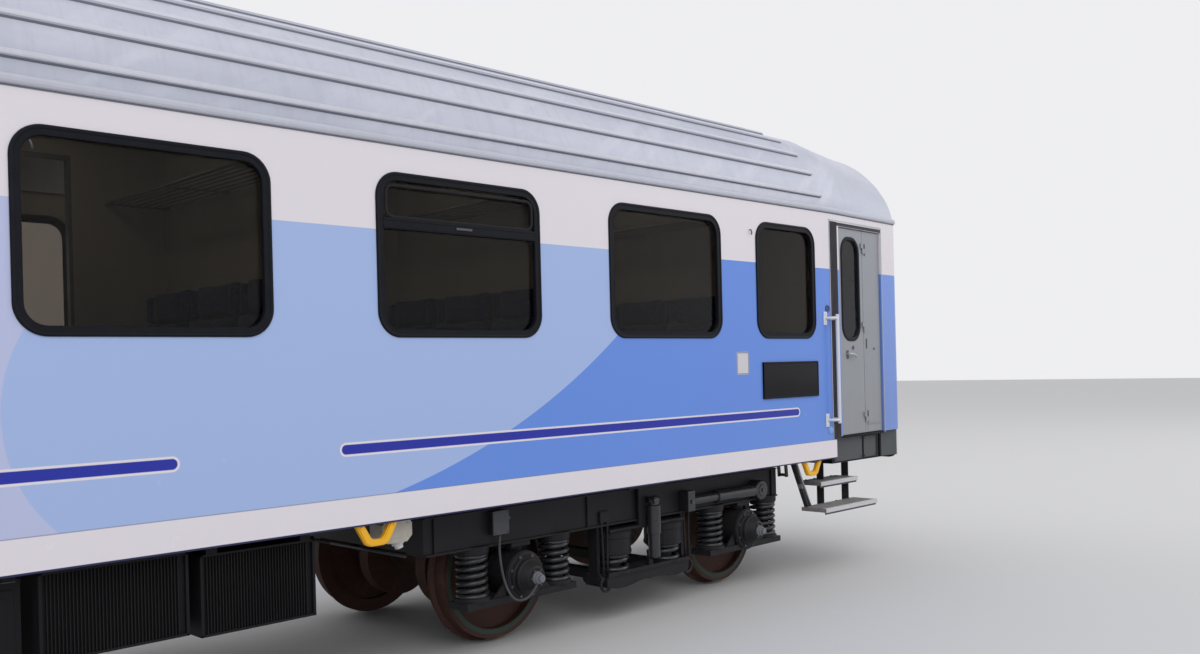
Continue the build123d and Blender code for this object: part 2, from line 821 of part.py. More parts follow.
# Display panels on the sides
with BuildPart() as display_panels:
    with BuildSketch(Plane.XZ.offset(body_half_width + seat_gap)):
        with Locations((panel_x, panel_z)):
            Rectangle(panel_width, panel_height)
    extrude(amount=panel_thickness)
    mirror(about=Plane.XZ)
    mirror(about=Plane.YZ)
export("display_panels", display_panels.part)

# Steps: two treads on hanger plates under each step box
with BuildPart() as steps:
    for start_x, end_x, front_y, back_y, top_z in tread_table:
        with BuildSketch(Plane.XY.offset(top_z - tread)):
            with Locations(((start_x + end_x) / 2, -(front_y + back_y) / 2)):
                Rectangle(end_x - start_x, front_y - back_y)
        extrude(amount=tread)
    for x in hanger_places:
        # Top and bottom of the two lengths, above and below the upper tread
        for top_z, bottom_z in (
            (well_bottom_z - seat_gap, tread_table[1][4] + seat_gap),
            (tread_table[1][4] - tread - seat_gap, tread_table[0][4] - tread),
        ):
            with BuildSketch(Plane.YZ.offset(x)):
                with Locations((-step_hanger_y, (top_z + bottom_z) / 2)):
                    Rectangle(step_hanger_width, top_z - bottom_z)
            extrude(amount=plate)
    with BuildSketch(Plane.XZ.offset(brace_y)):
        with BuildLine():
            Polyline(*brace_points, close=True)
        make_face()
    extrude(amount=brace_thickness)
    mirror(about=Plane.XZ)
    mirror(about=Plane.YZ)
export("steps", steps.part)

# Buffers: base plate, sleeve, plunger and head
with BuildPart() as buffers:
    # Plane offset from the middle of the coach, thickness, radius
    for start_x, length, radius in buffer_rounds:
        with BuildSketch(Plane.YZ.offset(start_x)):
            with Locations((-buffer_y, buffer_z)):
                Circle(radius)
        extrude(amount=length)
    with BuildSketch(Plane.YZ.offset(headstock_x + seat_gap)):
        with Locations((-buffer_y, buffer_z)):
            Rectangle(buffer_base_width, buffer_base_height)
    extrude(amount=buffer_base_thickness)
    with BuildSketch(Plane.YZ.offset(buffer_face_x - buffer_head_thickness)):
        with Locations((-buffer_y, buffer_z)):
            RectangleRounded(buffer_head_width, buffer_head_height, buffer_head_radius)
    extrude(amount=buffer_head_thickness)
    mirror(about=Plane.XZ)
    mirror(about=Plane.YZ)
export("buffers", buffers.part)

# Draw gear: hook with a hanging screw coupling
with BuildPart() as draw_gear:
    with BuildSketch(Plane.XZ.offset(-hook_thickness / 2)):
        with BuildLine():
            Polyline(*[(headstock_x + seat_gap + dx, hook_z + dz) for dx, dz in hook_outline], close=True)
        make_face()
    extrude(amount=hook_thickness)
    for side in (-1, 1):
        with BuildSketch(Plane.XZ.offset(side * link_y - link_thickness / 2)):
            with BuildLine():
                Polyline(*[(headstock_x + seat_gap + dx, hook_z + dz) for dx, dz in link_outline], close=True)
            make_face()
        extrude(amount=link_thickness)
    with BuildSketch(Plane.XZ.offset(-link_y - link_thickness / 2)):
        with Locations((headstock_x + seat_gap + link_pin[0], hook_z + link_pin[1])):
            Circle(link_pin_radius)
        with Locations((headstock_x + seat_gap + link_bar[0], hook_z + link_bar[1])):
            Circle(link_pin_radius)
    extrude(amount=2 * link_y + link_thickness)
    mirror(about=Plane.YZ)
export("draw_gear", draw_gear.part)

# Gangways: a rubber tube over the opening and a footplate
tube_x = buffer_face_x - tube_radius
with BuildPart() as gangways:
    with BuildLine(Plane.YZ.offset(tube_x)) as tube_path:
        FilletPolyline(
            (-tube_y, tube_bottom_z),
            (-tube_y, tube_top_z),
            (tube_y, tube_top_z),
            (tube_y, tube_bottom_z),
            radius=tube_bend,
        )
    with BuildSketch(Plane.XY.offset(tube_bottom_z)):
        with Locations((tube_x, -tube_y)):
            Circle(tube_radius)
        with Locations(((tube_x + body_end_x + seat_gap) / 2, -tube_y)):
            Rectangle(tube_x - body_end_x - seat_gap, tube_strip)
    sweep(path=tube_path.wires()[0])
    mirror(about=Plane.YZ)
export("gangways", gangways.part)

with BuildPart() as footplates:
    with BuildSketch(Plane.XY.offset(floor_z - footplate_thickness)):
        with Locations(((body_end_x + seat_gap + footplate_end_x) / 2, 0)):
            Rectangle(footplate_end_x - body_end_x - seat_gap, 2 * footplate_half_width)
    extrude(amount=footplate_thickness)
    mirror(about=Plane.YZ)
export("footplates", footplates.part)

# Tail lamps on the end walls
with BuildPart() as tail_lamps:
    with BuildSketch(Plane.YZ.offset(body_end_x + seat_gap)):
        with Locations((-lamp_y, lamp_z), (lamp_y, lamp_z)):
            Circle(lamp_radius)
    extrude(amount=lamp_depth)
    mirror(about=Plane.YZ)
export("tail_lamps", tail_lamps.part)

# Rails over the gangway doors
with BuildPart() as door_rails:
    rail_x = body_end_x - wall - seat_gap - gangway_rail_depth
    with BuildSketch(Plane.XY.offset(gangway_leaf_top_z + seat_gap)):
        with Locations((rail_x + gangway_rail_depth / 2, 0)):
            Rectangle(gangway_rail_depth, 2 * gangway_rail_half)
    extrude(amount=gangway_rail_height)
    mirror(about=Plane.YZ)
export("door_rails", door_rails.part)

# Gangway doors: two leaves in each end slide apart
leaf_x = body_end_x - wall - gangway_leaf_gap - gangway_leaf
gangway_leaf_width = gangway_half_width + gangway_overlap - clearance
gangway_leaf_height = gangway_leaf_top_z - floor_z - clearance
with BuildPart() as gangway_door:
    with BuildSketch(Plane.YZ.offset(leaf_x)):
        with Locations((-clearance - gangway_leaf_width / 2, floor_z + clearance + gangway_leaf_height / 2)):
            Rectangle(gangway_leaf_width, gangway_leaf_height)
    extrude(amount=gangway_leaf)
for end_name, end in ends:
    for side_name, side in sides:
        export(f"gangway_door_{end_name}_{side_name}", at_end(at_side(gangway_door.part, side), end))

# Entrance doors: the plane of a doorway, from the outboard post, with X outboard along the wall
door_plane = Plane(
    origin=(door_outer_x, -wall_y(door_outer_x), 0),
    x_dir=(taper_cos, taper_sin, 0),
    z_dir=(taper_sin, -taper_cos, 0),
)
door_length = (door_outer_x - door_inner_x) / taper_cos
fold = -(door_outer_x - fold_x) / taper_cos
leaf_bottom_z = door_sill_z + leaf_gap
leaf_top_z = door_top_z - leaf_gap
leaf_mid_z = (leaf_bottom_z + leaf_top_z) / 2
leaf_window_z = leaf_window_bottom_z + leaf_window_height / 2
leaf_window_x = (fold - door_length + leaf_tip_gap) / 2
leaf_inner = leaf_recess + leaf_thickness
post_flap_depth = post_hinge_depth + hinge_radius - leaf_inner

with BuildPart() as post_leaf:
    with BuildSketch(door_plane.offset(-leaf_recess)):
        with Locations(((fold + fold_gap - leaf_gap) / 2, leaf_mid_z)):
            Rectangle(-leaf_gap - fold - fold_gap, leaf_top_z - leaf_bottom_z)
    extrude(amount=-leaf_thickness)
    for z in hinge_heights:
        # Upper knuckle on the post
        with BuildSketch(door_level(z + seat_gap)):
            with Locations((post_hinge_x, post_hinge_depth)):
                Circle(hinge_radius)
            with Locations((post_hinge_x - hinge_flap / 2, leaf_inner + post_flap_depth / 2)):
                Rectangle(hinge_flap, post_flap_depth)
        extrude(amount=hinge_height)
        # Lower knuckle at the fold
        with BuildSketch(door_level(z - hinge_height)):
            with Locations((fold, leaf_recess - hinge_stand)):
                Circle(hinge_radius)
            with Locations((fold + hinge_flap / 2, leaf_recess - (hinge_stand + hinge_radius) / 2)):
                Rectangle(hinge_flap, hinge_stand + hinge_radius)
        extrude(amount=hinge_height)

with BuildPart() as window_leaf:
    with BuildSketch(door_plane.offset(-leaf_recess)):
        with Locations((leaf_window_x - fold_gap / 2, leaf_mid_z)):
            Rectangle(fold - fold_gap + door_length - leaf_tip_gap, leaf_top_z - leaf_bottom_z)
        with Locations((leaf_window_x, leaf_window_z)):
            RectangleRounded(leaf_window_width, leaf_window_height, leaf_window_radius, mode=Mode.SUBTRACT)
    extrude(amount=-leaf_thickness)
    for z in hinge_heights:
        with BuildSketch(door_level(z + seat_gap)):
            with Locations((fold, leaf_recess - hinge_stand)):
                Circle(hinge_radius)
            with Locations((fold - hinge_flap / 2, leaf_recess - (hinge_stand + hinge_radius) / 2)):
                Rectangle(hinge_flap, hinge_stand + hinge_radius)
        extrude(amount=hinge_height)

with BuildPart() as leaf_glass:
    with BuildSketch(door_plane.offset(-leaf_recess - leaf_glass_inset)):
        with Locations((leaf_window_x, leaf_window_z)):
            RectangleRounded(
                leaf_window_width - 2 * seat_gap,
                leaf_window_height - 2 * seat_gap,
                leaf_window_radius - seat_gap,
            )
    extrude(amount=-pane_thickness)

for end_name, end in ends:
    for side_name, side in sides:
        place = f"{end_name}_{side_name}"
        export(f"door_{place}_post_leaf", at_end(at_side(post_leaf.part, side), end))
        export(f"door_{place}_window_leaf", at_end(at_side(window_leaf.part, side), end))
        export(f"door_{place}_glass", at_end(at_side(leaf_glass.part, side), end))

# Equipment boxes under the floor, hung from the side sills
with BuildPart() as underfloor_boxes:
    for start_x, end_x, side, inner_y, outer_y, bottom_z, top_z in box_table:
        with BuildSketch(Plane.XY.offset(bottom_z)):
            with Locations(((start_x + end_x) / 2, side * (inner_y + outer_y) / 2)):
                Rectangle(end_x - start_x, outer_y - inner_y)
        extrude(amount=top_z - bottom_z)
        with BuildSketch(Plane.XY.offset(top_z)):
            for x in (start_x + box_lug, end_x - box_lug):
                with Locations((x, side * (body_half_width - wall - solebar_width / 2 - 10))):
                    Rectangle(box_lug, solebar_width - 40)
        extrude(amount=solebar_bottom_z - seat_gap - top_z)
export("underfloor_boxes", underfloor_boxes.part)

# Air reservoirs on saddles under the cross members
with BuildPart() as air_reservoirs:
    for start_x, y, length in reservoir_table:
        with BuildSketch(Plane.YZ.offset(start_x)):
            with Locations((y, reservoir_z)):
                Circle(reservoir_radius)
        extrude(amount=length)
        for x in (start_x + reservoir_saddle, start_x + length - reservoir_saddle):
            with BuildSketch(Plane.XY.offset(reservoir_z)):
                with Locations((x, y)):
                    Rectangle(crossbar_width - 20, reservoir_radius)
            extrude(amount=solebar_bottom_z - seat_gap - reservoir_z)
export("air_reservoirs", air_reservoirs.part)

# Socket boxes under the side sills beside the bogies
with BuildPart() as socket_boxes:
    with BuildSketch(Plane.XZ.offset(socket_inner_y)):
        with Locations((socket_x, (socket_bottom_z + solebar_bottom_z - seat_gap) / 2)):
            socket = Rectangle(socket_width, solebar_bottom_z - seat_gap - socket_bottom_z)
        chamfer(socket.vertices().group_by(Axis.Z)[0], socket_chamfer)
    extrude(amount=socket_depth)
    mirror(about=Plane.XZ)
    mirror(about=Plane.YZ)
export("socket_boxes", socket_boxes.part)


# Bogies, built at the front end around the pivot
frame_inner_y = frame_y - frame_width / 2
frame_outer_y = frame_y + frame_width / 2
axle_places = (-wheelbase / 2, wheelbase / 2)
spring_places = [axle + sign * spring_offset for axle in axle_places for sign in (-1, 1)]
hanger_x = plank_half_length + seat_gap + hanger_thickness / 2
plank_edge_y = axle_box_y + plank_width / 2
# Lugs of the upright dampers: bottom, inner edge
damper_lugs = (
    (damper_bottom_z, plank_edge_y - bolster_plate),
    (damper_top_z - damper_lug, frame_outer_y + seat_gap),
)
# Inner faces of the brake cheeks on both sides of a disc
cheek_places = (
    disc_y - disc_thickness / 2 - clearance - cheek,
    disc_y + disc_thickness / 2 + clearance,
)

with BuildPart() as bogie_frame:
    with BuildSketch(Plane.XY.offset(frame_bottom_z)):
        for side in (-1, 1):
            with Locations((pivot_x + (frame_outer_end - frame_inner_end) / 2, side * frame_y)):
                Rectangle(frame_outer_end + frame_inner_end, frame_width)
        for x in (-crossbeam_x, crossbeam_x, -frame_inner_end + crossbeam_width / 2):
            with Locations((pivot_x + x, 0)):
                Rectangle(crossbeam_width, 2 * frame_inner_y + 2)
    extrude(amount=frame_top_z - frame_bottom_z)
    with BuildSketch(Plane.XY.offset(plank_z)):
        for side in (-1, 1):
            for sign in (-1, 1):
                with Locations((pivot_x + sign * hanger_x, side * axle_box_y)):
                    Rectangle(hanger_thickness, hanger_width)
    extrude(amount=frame_bottom_z - plank_z)

with BuildPart() as bogie_bolster:
    with BuildSketch(Plane.XY.offset(bolster_bottom_z)):
        with Locations((pivot_x, 0)):
            Rectangle(2 * bolster_half, 2 * bolster_inner_y)
    extrude(amount=bolster_top_z - bolster_bottom_z)
    with BuildSketch(Plane.XY.offset(frame_top_z + clearance)):
        with Locations((pivot_x, 0)):
            Rectangle(2 * bolster_half, 2 * bolster_outer_y)
    extrude(amount=bolster_top_z - frame_top_z - clearance)
    with BuildSketch(Plane.XY.offset(can_top_z)):
        for side in (-1, 1):
            with Locations((pivot_x, side * (bolster_inner_y + bolster_outer_y) / 2)):
                Rectangle(2 * can_plate_half, bolster_outer_y - bolster_inner_y)
    extrude(amount=bolster_plate)
    with BuildSketch(Plane.XY.offset(can_top_z)):
        for side in (-1, 1):
            with Locations((pivot_x - stirrup_x, side * (bolster_outer_y - bolster_plate / 2))):
                Rectangle(stirrup_width, bolster_plate)
            with Locations((pivot_x, side * (bolster_inner_y + bolster_plate / 2 - 2))):
                Rectangle(2 * stirrup_width, bolster_plate)
    extrude(amount=bolster_top_z - can_top_z)
    with BuildSketch(Plane.XY.offset(bolster_top_z)):
        for side in (-1, 1):
            with Locations((pivot_x, side * bearer_y)):
                Circle(bearer_radius)
    extrude(amount=bearer_bottom_z - seat_gap - bolster_top_z)
    with BuildSketch(Plane.XY.offset(bolster_bottom_z)):
        with Locations((pivot_x, 0)):
            Circle(pivot_pin_radius + seat_gap)
    extrude(amount=bolster_top_z - bolster_bottom_z, mode=Mode.SUBTRACT)
    # Spring plank below, with a lug for the damper on each side
    with BuildSketch(Plane.XY.offset(plank_z)):
        for side in (-1, 1):
            with Locations((pivot_x, side * axle_box_y)):
                Rectangle(2 * plank_half_length, plank_width)
        for sign in (-1, 1):
            with Locations((pivot_x + sign * plank_tie_x, 0)):
                Rectangle(plank_tie_width, 2 * axle_box_y)
    extrude(amount=plank_thickness)
    with BuildSketch(Plane.XY.offset(plank_z)):
        for side in (-1, 1):
            with Locations((pivot_x + damper_x, side * (plank_edge_y - bolster_plate / 2))):
                Rectangle(damper_lug, bolster_plate)
    extrude(amount=damper_bottom_z - seat_gap - plank_z)

with BuildPart() as axle_boxes:
    for axle in axle_places:
        with BuildSketch(Plane.XZ.offset(axle_box_y - axle_box_width / 2)):
            with Locations((pivot_x + axle, axle_z)):
                Circle(axle_box_radius)
            with Locations((pivot_x + axle, spring_seat_top_z - spring_seat_thickness / 2)):
                Rectangle(2 * (spring_offset + spring_radius + 10), spring_seat_thickness)
        extrude(amount=axle_box_width)
        with BuildSketch(Plane.XZ.offset(axle_box_y + axle_box_width / 2)):
            with Locations((pivot_x + axle, axle_z)):
                Circle(box_cap_radius)
        extrude(amount=box_cap_end - axle_box_y - axle_box_width / 2)
        with BuildSketch(Plane.XZ.offset(axle_box_y - axle_box_width / 2)):
            with Locations((pivot_x + axle, axle_z)):
                Circle(journal_radius + seat_gap)
        extrude(amount=journal_end + clearance - axle_box_y + axle_box_width / 2, mode=Mode.SUBTRACT)
    mirror(about=Plane.XZ)

with BuildPart() as bogie_springs:
    with BuildSketch(Plane.XY.offset(spring_seat_top_z + seat_gap)):
        for x in spring_places:
            with Locations((pivot_x + x, -axle_box_y), (pivot_x + x, axle_box_y)):
                Circle(spring_radius)
    extrude(amount=frame_bottom_z - spring_seat_top_z - 2 * seat_gap)
    with BuildSketch(Plane.XY.offset(plank_z + plank_thickness + seat_gap)):
        for x in (-can_x, can_x):
            with Locations((pivot_x + x, -axle_box_y), (pivot_x + x, axle_box_y)):
                Circle(can_radius - 25)
    extrude(amount=can_bottom_z - plank_z - plank_thickness)
    with BuildSketch(Plane.XY.offset(can_bottom_z)):
        for x in (-can_x, can_x):
            with Locations((pivot_x + x, -axle_box_y), (pivot_x + x, axle_box_y)):
                Circle(can_radius)
    extrude(amount=can_top_z - seat_gap - can_bottom_z)

with BuildPart() as bogie_dampers:
    # Upright dampers from the frame down to the spring plank
    with BuildSketch(Plane.XY.offset(damper_bottom_z)):
        with Locations((pivot_x + damper_x, -damper_y)):
            Circle(damper_radius)
    extrude(amount=damper_top_z - damper_bottom_z)
    for bottom_z, inner_y in damper_lugs:
        with BuildSketch(Plane.XY.offset(bottom_z)):
            with Locations((pivot_x + damper_x, -(inner_y + damper_y) / 2)):
                Rectangle(damper_lug, damper_y - inner_y)
        extrude(amount=damper_lug)
    # Long dampers along the frame
    with BuildSketch(Plane.YZ.offset(pivot_x + yaw_damper_start)):
        with Locations((-yaw_damper_y, yaw_damper_z)):
            Circle(damper_radius)
    extrude(amount=yaw_damper_end - yaw_damper_start)
    for x in (yaw_damper_start, yaw_damper_end - damper_lug):
        with BuildSketch(Plane.XZ.offset(frame_outer_y + seat_gap)):
            with Locations((pivot_x + x + damper_lug / 2, yaw_damper_z)):
                Rectangle(damper_lug, 2 * damper_lug)
        extrude(amount=yaw_damper_y - frame_outer_y - seat_gap)
    # Junction boxes
    with BuildSketch(Plane.XZ.offset(frame_outer_y + seat_gap)):
        with Locations((pivot_x + junction_x, junction_z)):
            Rectangle(junction_width, junction_height)
    extrude(amount=junction_depth)
    mirror(about=Plane.XZ)

with BuildPart() as brake_gear:
    for direction in (-1, 1):
        start_x = direction * (crossbeam_x + crossbeam_width / 2 + seat_gap)
        cheek_points = [(pivot_x + start_x + direction * dx, rail + z) for dx, z in cheek_outline]
        for cheek_y in cheek_places:
            with BuildSketch(Plane.XZ.offset(cheek_y)):
                with BuildLine():
                    Polyline(*cheek_points, close=True)
                make_face()
            extrude(amount=cheek)
        with BuildSketch(Plane.XZ.offset(cheek_places[0] + cheek / 2)):
            with Locations((pivot_x + start_x + direction * caliper_x, rail + caliper_z)):
                Rectangle(caliper_length, caliper_height)
        extrude(amount=disc_thickness + 2 * clearance + cheek)
    mirror(about=Plane.XZ)

for end_name, end in ends:
    export(f"bogie_{end_name}_frame", at_end(bogie_frame.part, end))
    export(f"bogie_{end_name}_bolster", at_end(bogie_bolster.part, end))
    export(f"bogie_{end_name}_axle_boxes", at_end(axle_boxes.part, end))
    export(f"bogie_{end_name}_springs", at_end(bogie_springs.part, end))
    export(f"bogie_{end_name}_dampers", at_end(bogie_dampers.part, end))
    export(f"bogie_{end_name}_brake_gear", at_end(brake_gear.part, end))

# Wheelsets: distance from the middle along the axle and radius, from the middle outwards
with BuildPart() as wheelset:
    with BuildSketch(Plane(origin=(pivot_x, 0, axle_z), x_dir=(0, 1, 0), z_dir=(1, 0, 0))):
        with BuildLine():
            Polyline((0, 0), *wheelset_profile, (journal_end, 0), close=True)
        make_face()
        mirror(about=Plane.YZ)
    revolve(axis=Axis((pivot_x, 0, axle_z), (0, 1, 0)))
for end_name, end in ends:
    for axle_name, axle in (("inner", axle_places[0]), ("outer", axle_places[1])):
        export(f"wheelset_{end_name}_{axle_name}", at_end(Pos(axle, 0, 0) * wheelset.part, end))
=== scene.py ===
from itertools import product
from math import cos, pi, radians, sin, tau

import bmesh
import bpy
from mathutils import Matrix, Vector


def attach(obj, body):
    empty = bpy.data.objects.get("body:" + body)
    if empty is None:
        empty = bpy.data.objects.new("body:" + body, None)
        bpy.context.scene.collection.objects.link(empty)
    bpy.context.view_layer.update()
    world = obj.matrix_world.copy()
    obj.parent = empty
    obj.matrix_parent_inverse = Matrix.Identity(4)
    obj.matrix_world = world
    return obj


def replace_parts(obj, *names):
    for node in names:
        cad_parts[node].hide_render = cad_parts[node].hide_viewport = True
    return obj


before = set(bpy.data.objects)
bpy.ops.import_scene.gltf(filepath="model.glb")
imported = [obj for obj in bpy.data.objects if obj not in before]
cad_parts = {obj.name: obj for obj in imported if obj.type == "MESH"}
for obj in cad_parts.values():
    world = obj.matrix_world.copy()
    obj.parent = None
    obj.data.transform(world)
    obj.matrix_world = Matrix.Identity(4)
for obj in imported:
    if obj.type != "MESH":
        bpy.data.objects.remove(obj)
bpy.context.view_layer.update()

# Sizes of the coach that the looks share with the solids, in metres. Shapes are drawn with z
# over the rail head, which lies at RAIL. The near side is at -y.
RAIL = 0.028
HALF_WIDTH, END_HALF_WIDTH = 1.4125, 1.335
TAPER_START, BODY_END = 10.780, 12.080
TAPER = (HALF_WIDTH - END_HALF_WIDTH) / (BODY_END - TAPER_START)
PIVOT, AXLE, AXLE_Z = 8.600, 1.250, 0.460
ENDS = (("front", 1), ("rear", -1))
SIDES = (("near", -1), ("far", 1))
ALONG, OUT, UP = (1, 0, 0), (0, -1, 0), (0, 0, 1)
CUBE_FACES = ((0, 1, 3, 2), (4, 6, 7, 5), (0, 4, 5, 1), (2, 3, 7, 6), (0, 2, 6, 4), (1, 5, 7, 3))


def wall_y(x):
    """Half width of the outer side face at a place along the coach"""
    return HALF_WIDTH - max(0.0, abs(x) - TAPER_START) * TAPER


def link_object(name, data):
    made = bpy.data.objects.new(name, data)
    bpy.context.scene.collection.objects.link(made)
    return made


# Meshes
def turns(count):
    """Equal steps of a full turn"""
    return [tau * k / count for k in range(count)]


def circle(centre, axis, radius, sides, across=None):
    """Points about a centre, square to the axis"""
    if across is None:
        across = axis.orthogonal().normalized()
    third = axis.cross(across)
    return [centre + across * radius * cos(t) + third * radius * sin(t) for t in turns(sides)]


def rounded_cube(low, high, bevel, share, profile):
    """A box with rounded edges; the bevel is at most a share of its shortest side"""
    spans = [sorted(span) for span in zip(low, high)]
    bm = bmesh.new()
    bmesh.ops.create_cube(bm, size=1.0)
    for v in bm.verts:
        v.co = [a + (c + 0.5) * (b - a) for c, (a, b) in zip(v.co, spans)]
    width = min(bevel, share * min(b - a for a, b in spans))
    bmesh.ops.bevel(
        bm, geom=list(bm.edges), offset=width, segments=2, profile=profile, affect="EDGES")
    return bm


def rounded_outline(cx, cz, width, height, radius, steps=8):
    """Corner points of a rectangle with rounded corners"""
    w, h = width / 2 - radius, height / 2 - radius
    return [
        (cx + sx * w + radius * cos(t), cz + sz * h + radius * sin(t))
        for k, (sx, sz) in enumerate(((1, 1), (-1, 1), (-1, -1), (1, -1)))
        for t in (pi / 2 * (k + i / steps) for i in range(steps + 1))]


def smooth_path(points, steps):
    """Points of a smooth curve through the given ones"""
    points = [Vector(p) for p in points]
    path = []
    for p0, p1, p2, p3 in zip(points[:1] + points, points, points[1:], points[2:] + points[-1:]):
        for t in (k / steps for k in range(steps)):
            path.append(0.5 * (
                2 * p1 + (p2 - p0) * t + (2 * p0 - 5 * p1 + 4 * p2 - p3) * t * t
                + (3 * p1 - p0 - 3 * p2 + p3) * t ** 3))
    return path + points[-1:]


class Shape:
    """Collects points and faces of one piece"""

    def __init__(self):
        self.points, self.faces, self.smooth = [], [], []

    def add(self, points, faces, smooth=False):
        start = len(self.points)
        self.points += [Vector(p) for p in points]
        self.faces += [tuple(start + i for i in f) for f in faces]
        self.smooth += [smooth] * len(faces)

    def join(self, other):
        self.add(other.points, other.faces)
        self.smooth[len(self.smooth) - len(other.smooth):] = other.smooth

    def take(self, bm, smooth=False):
        """Adds what a bmesh holds, and frees it"""
        bm.verts.index_update()
        self.add([v.co for v in bm.verts], [[v.index for v in f.verts] for f in bm.faces], smooth)
        bm.free()

    def loft(self, rings, closed=False, caps=True, smooth=False):
        """Joins rings of equal count into a skin, closed to a loop or with flat ends"""
        n, count = len(rings[0]), len(rings)
        faces = [
            (k * n + i, k * n + (i + 1) % n, (k + 1) % count * n + (i + 1) % n,
             (k + 1) % count * n + i)
            for k in range(count if closed else count - 1) for i in range(n)]
        if caps and not closed:
            faces += [range(n)[::-1], range((count - 1) * n, count * n)]
        self.add([p for ring in rings for p in ring], faces, smooth)

    def block(self, low, high, bevel=0.0):
        """A box between two corners, with its edges rounded by the bevel"""
        if bevel:
            self.take(rounded_cube(low, high, bevel, share=0.45, profile=0.7))
        else:
            self.add(product(*zip(low, high)), CUBE_FACES)

    def blocks(self, *rows):
        for row in rows:
            self.block(*row)
        return self

    def rods(self, places, way, length, radius, sides=6):
        """Straight round bars from each place"""
        reach = Vector(way) * length
        for start in places:
            rings = [circle(p, reach.normalized(), radius, sides)
                     for p in (Vector(start), Vector(start) + reach)]
            self.loft(rings, caps=False, smooth=True)
            self.add(rings[0], [range(sides)[::-1]])
            self.add(rings[1], [range(sides)])

    def lathe(self, centre, axis, profile, sides=32, closed=False):
        """A turned form: profile of (distance along the axis, radius), closed to a ring or not"""
        centre, axis = Vector(centre), Vector(axis).normalized()
        self.loft([circle(centre + axis * far, axis, r, sides) for far, r in profile], closed)

    def tube(self, path, radius, sides=10):
        """A bent round bar along a list of points"""
        path = [Vector(p) for p in path]
        rings, across = [], None
        for behind, here, ahead in zip(path[:1] + path, path, path[1:] + path[-1:]):
            along = (ahead - behind).normalized()
            across = along.orthogonal() if across is None else across - along * across.dot(along)
            across.normalize()
            rings.append(circle(here, along, radius, sides, across))
        self.loft(rings, smooth=True)

    def sheet(self, outline, low, high):
        """An upright outline of (x, z) carried between two values of y"""
        self.loft([[(u, y, v) for u, v in outline] for y in (low, high)])

    def frame(self, cx, cz, width, height, radius, bands, steps=8,
              place=lambda u, out, v: (u, -out, v)):
        """A rounded frame on a wall: bands of (growth of the outline, distance out from it)"""
        self.loft([
            [place(u, out, v) for u, v in rounded_outline(
                cx, cz, width + 2 * grow, height + 2 * grow, max(0.004, radius + grow), steps)]
            for grow, out in bands], caps=False)

    def piece(self, name, material, body, slot):
        """The finished piece, with one material, riding on a body"""
        data = bpy.data.meshes.new(name)
        data.from_pydata([p + Vector((0, 0, RAIL)) for p in self.points], [], self.faces)
        data.polygons.foreach_set("use_smooth", self.smooth)
        bm = bmesh.new()
        bm.from_mesh(data)
        # The lone end discs of rods already face outwards
        joined = [f for f in bm.faces if not all(e.is_boundary for e in f.edges)]
        bmesh.ops.recalc_face_normals(bm, faces=joined)
        bm.to_mesh(data)
        bm.free()
        data.update()
        made = link_object(name, data)
        data.materials.append(MATERIALS[material])
        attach(made, body)
        return made


# Placing shapes on both sides and both ends
def flipped(shape, x=False, y=False, shift=0.0):
    """The shape turned over across the middle planes, then moved along the coach"""
    made = Shape()
    made.points = [
        Vector((shift + (-p.x if x else p.x), -p.y if y else p.y, p.z)) for p in shape.points]
    made.faces = [f[::-1] if x != y else f for f in shape.faces]
    made.smooth = shape.smooth
    return made


def follow_wall(shape):
    """Moves points drawn against a flat wall at y = 0 out to the side face and its taper"""
    for p in shape.points:
        p.y -= wall_y(p.x)


def on_body(name, shape, material, slot):
    """One piece, drawn near the front end and repeated at all four corners"""
    all_four = Shape()
    for x, y in product((False, True), repeat=2):
        all_four.join(flipped(shape, x, y))
    return all_four.piece(name, material, "coach_body", slot)


def on_sides(name, shape, material, slot):
    """The same, for a shape drawn against a flat wall"""
    follow_wall(shape)
    on_body(name, shape, material, slot)


def on_bogies(name, shape, material, slot):
    """One piece per bogie, drawn on the near side of the front one with x from its pivot"""
    made = []
    for end_name, end in ENDS:
        both = Shape()
        for y in (False, True):
            both.join(flipped(shape, end < 0, y, end * PIVOT))
        body = f"bogie_{end_name}"
        made.append(both.piece(f"{body}_{name}", material, body, slot))
    return made


def at_doors(name, shape, material, slot, leaf=None):
    """One piece at each entrance door, on one of its leaves or on the coach body"""
    follow_wall(shape)
    for (end_name, end), (side_name, side) in product(ENDS, SIDES):
        where = f"{end_name}_{side_name}"
        body = f"door_{where}_{leaf}" if leaf else "coach_body"
        flipped(shape, end < 0, side > 0).piece(f"{name}_{where}", material, body, slot)


# Node trees
def add_node(tree, kind, values=None, **settings):
    """A node whose inputs take plain values, colours of three numbers, or other outputs"""
    made = tree.nodes.new(kind)
    for key, value in settings.items():
        setattr(made, key, value)
    for key, value in (values or {}).items():
        if isinstance(value, Value):
            tree.links.new(value.socket, made.inputs[key])
        elif made.inputs[key].type == "RGBA":
            made.inputs[key].default_value = (*value, 1.0)
        else:
            made.inputs[key].default_value = value
    return made


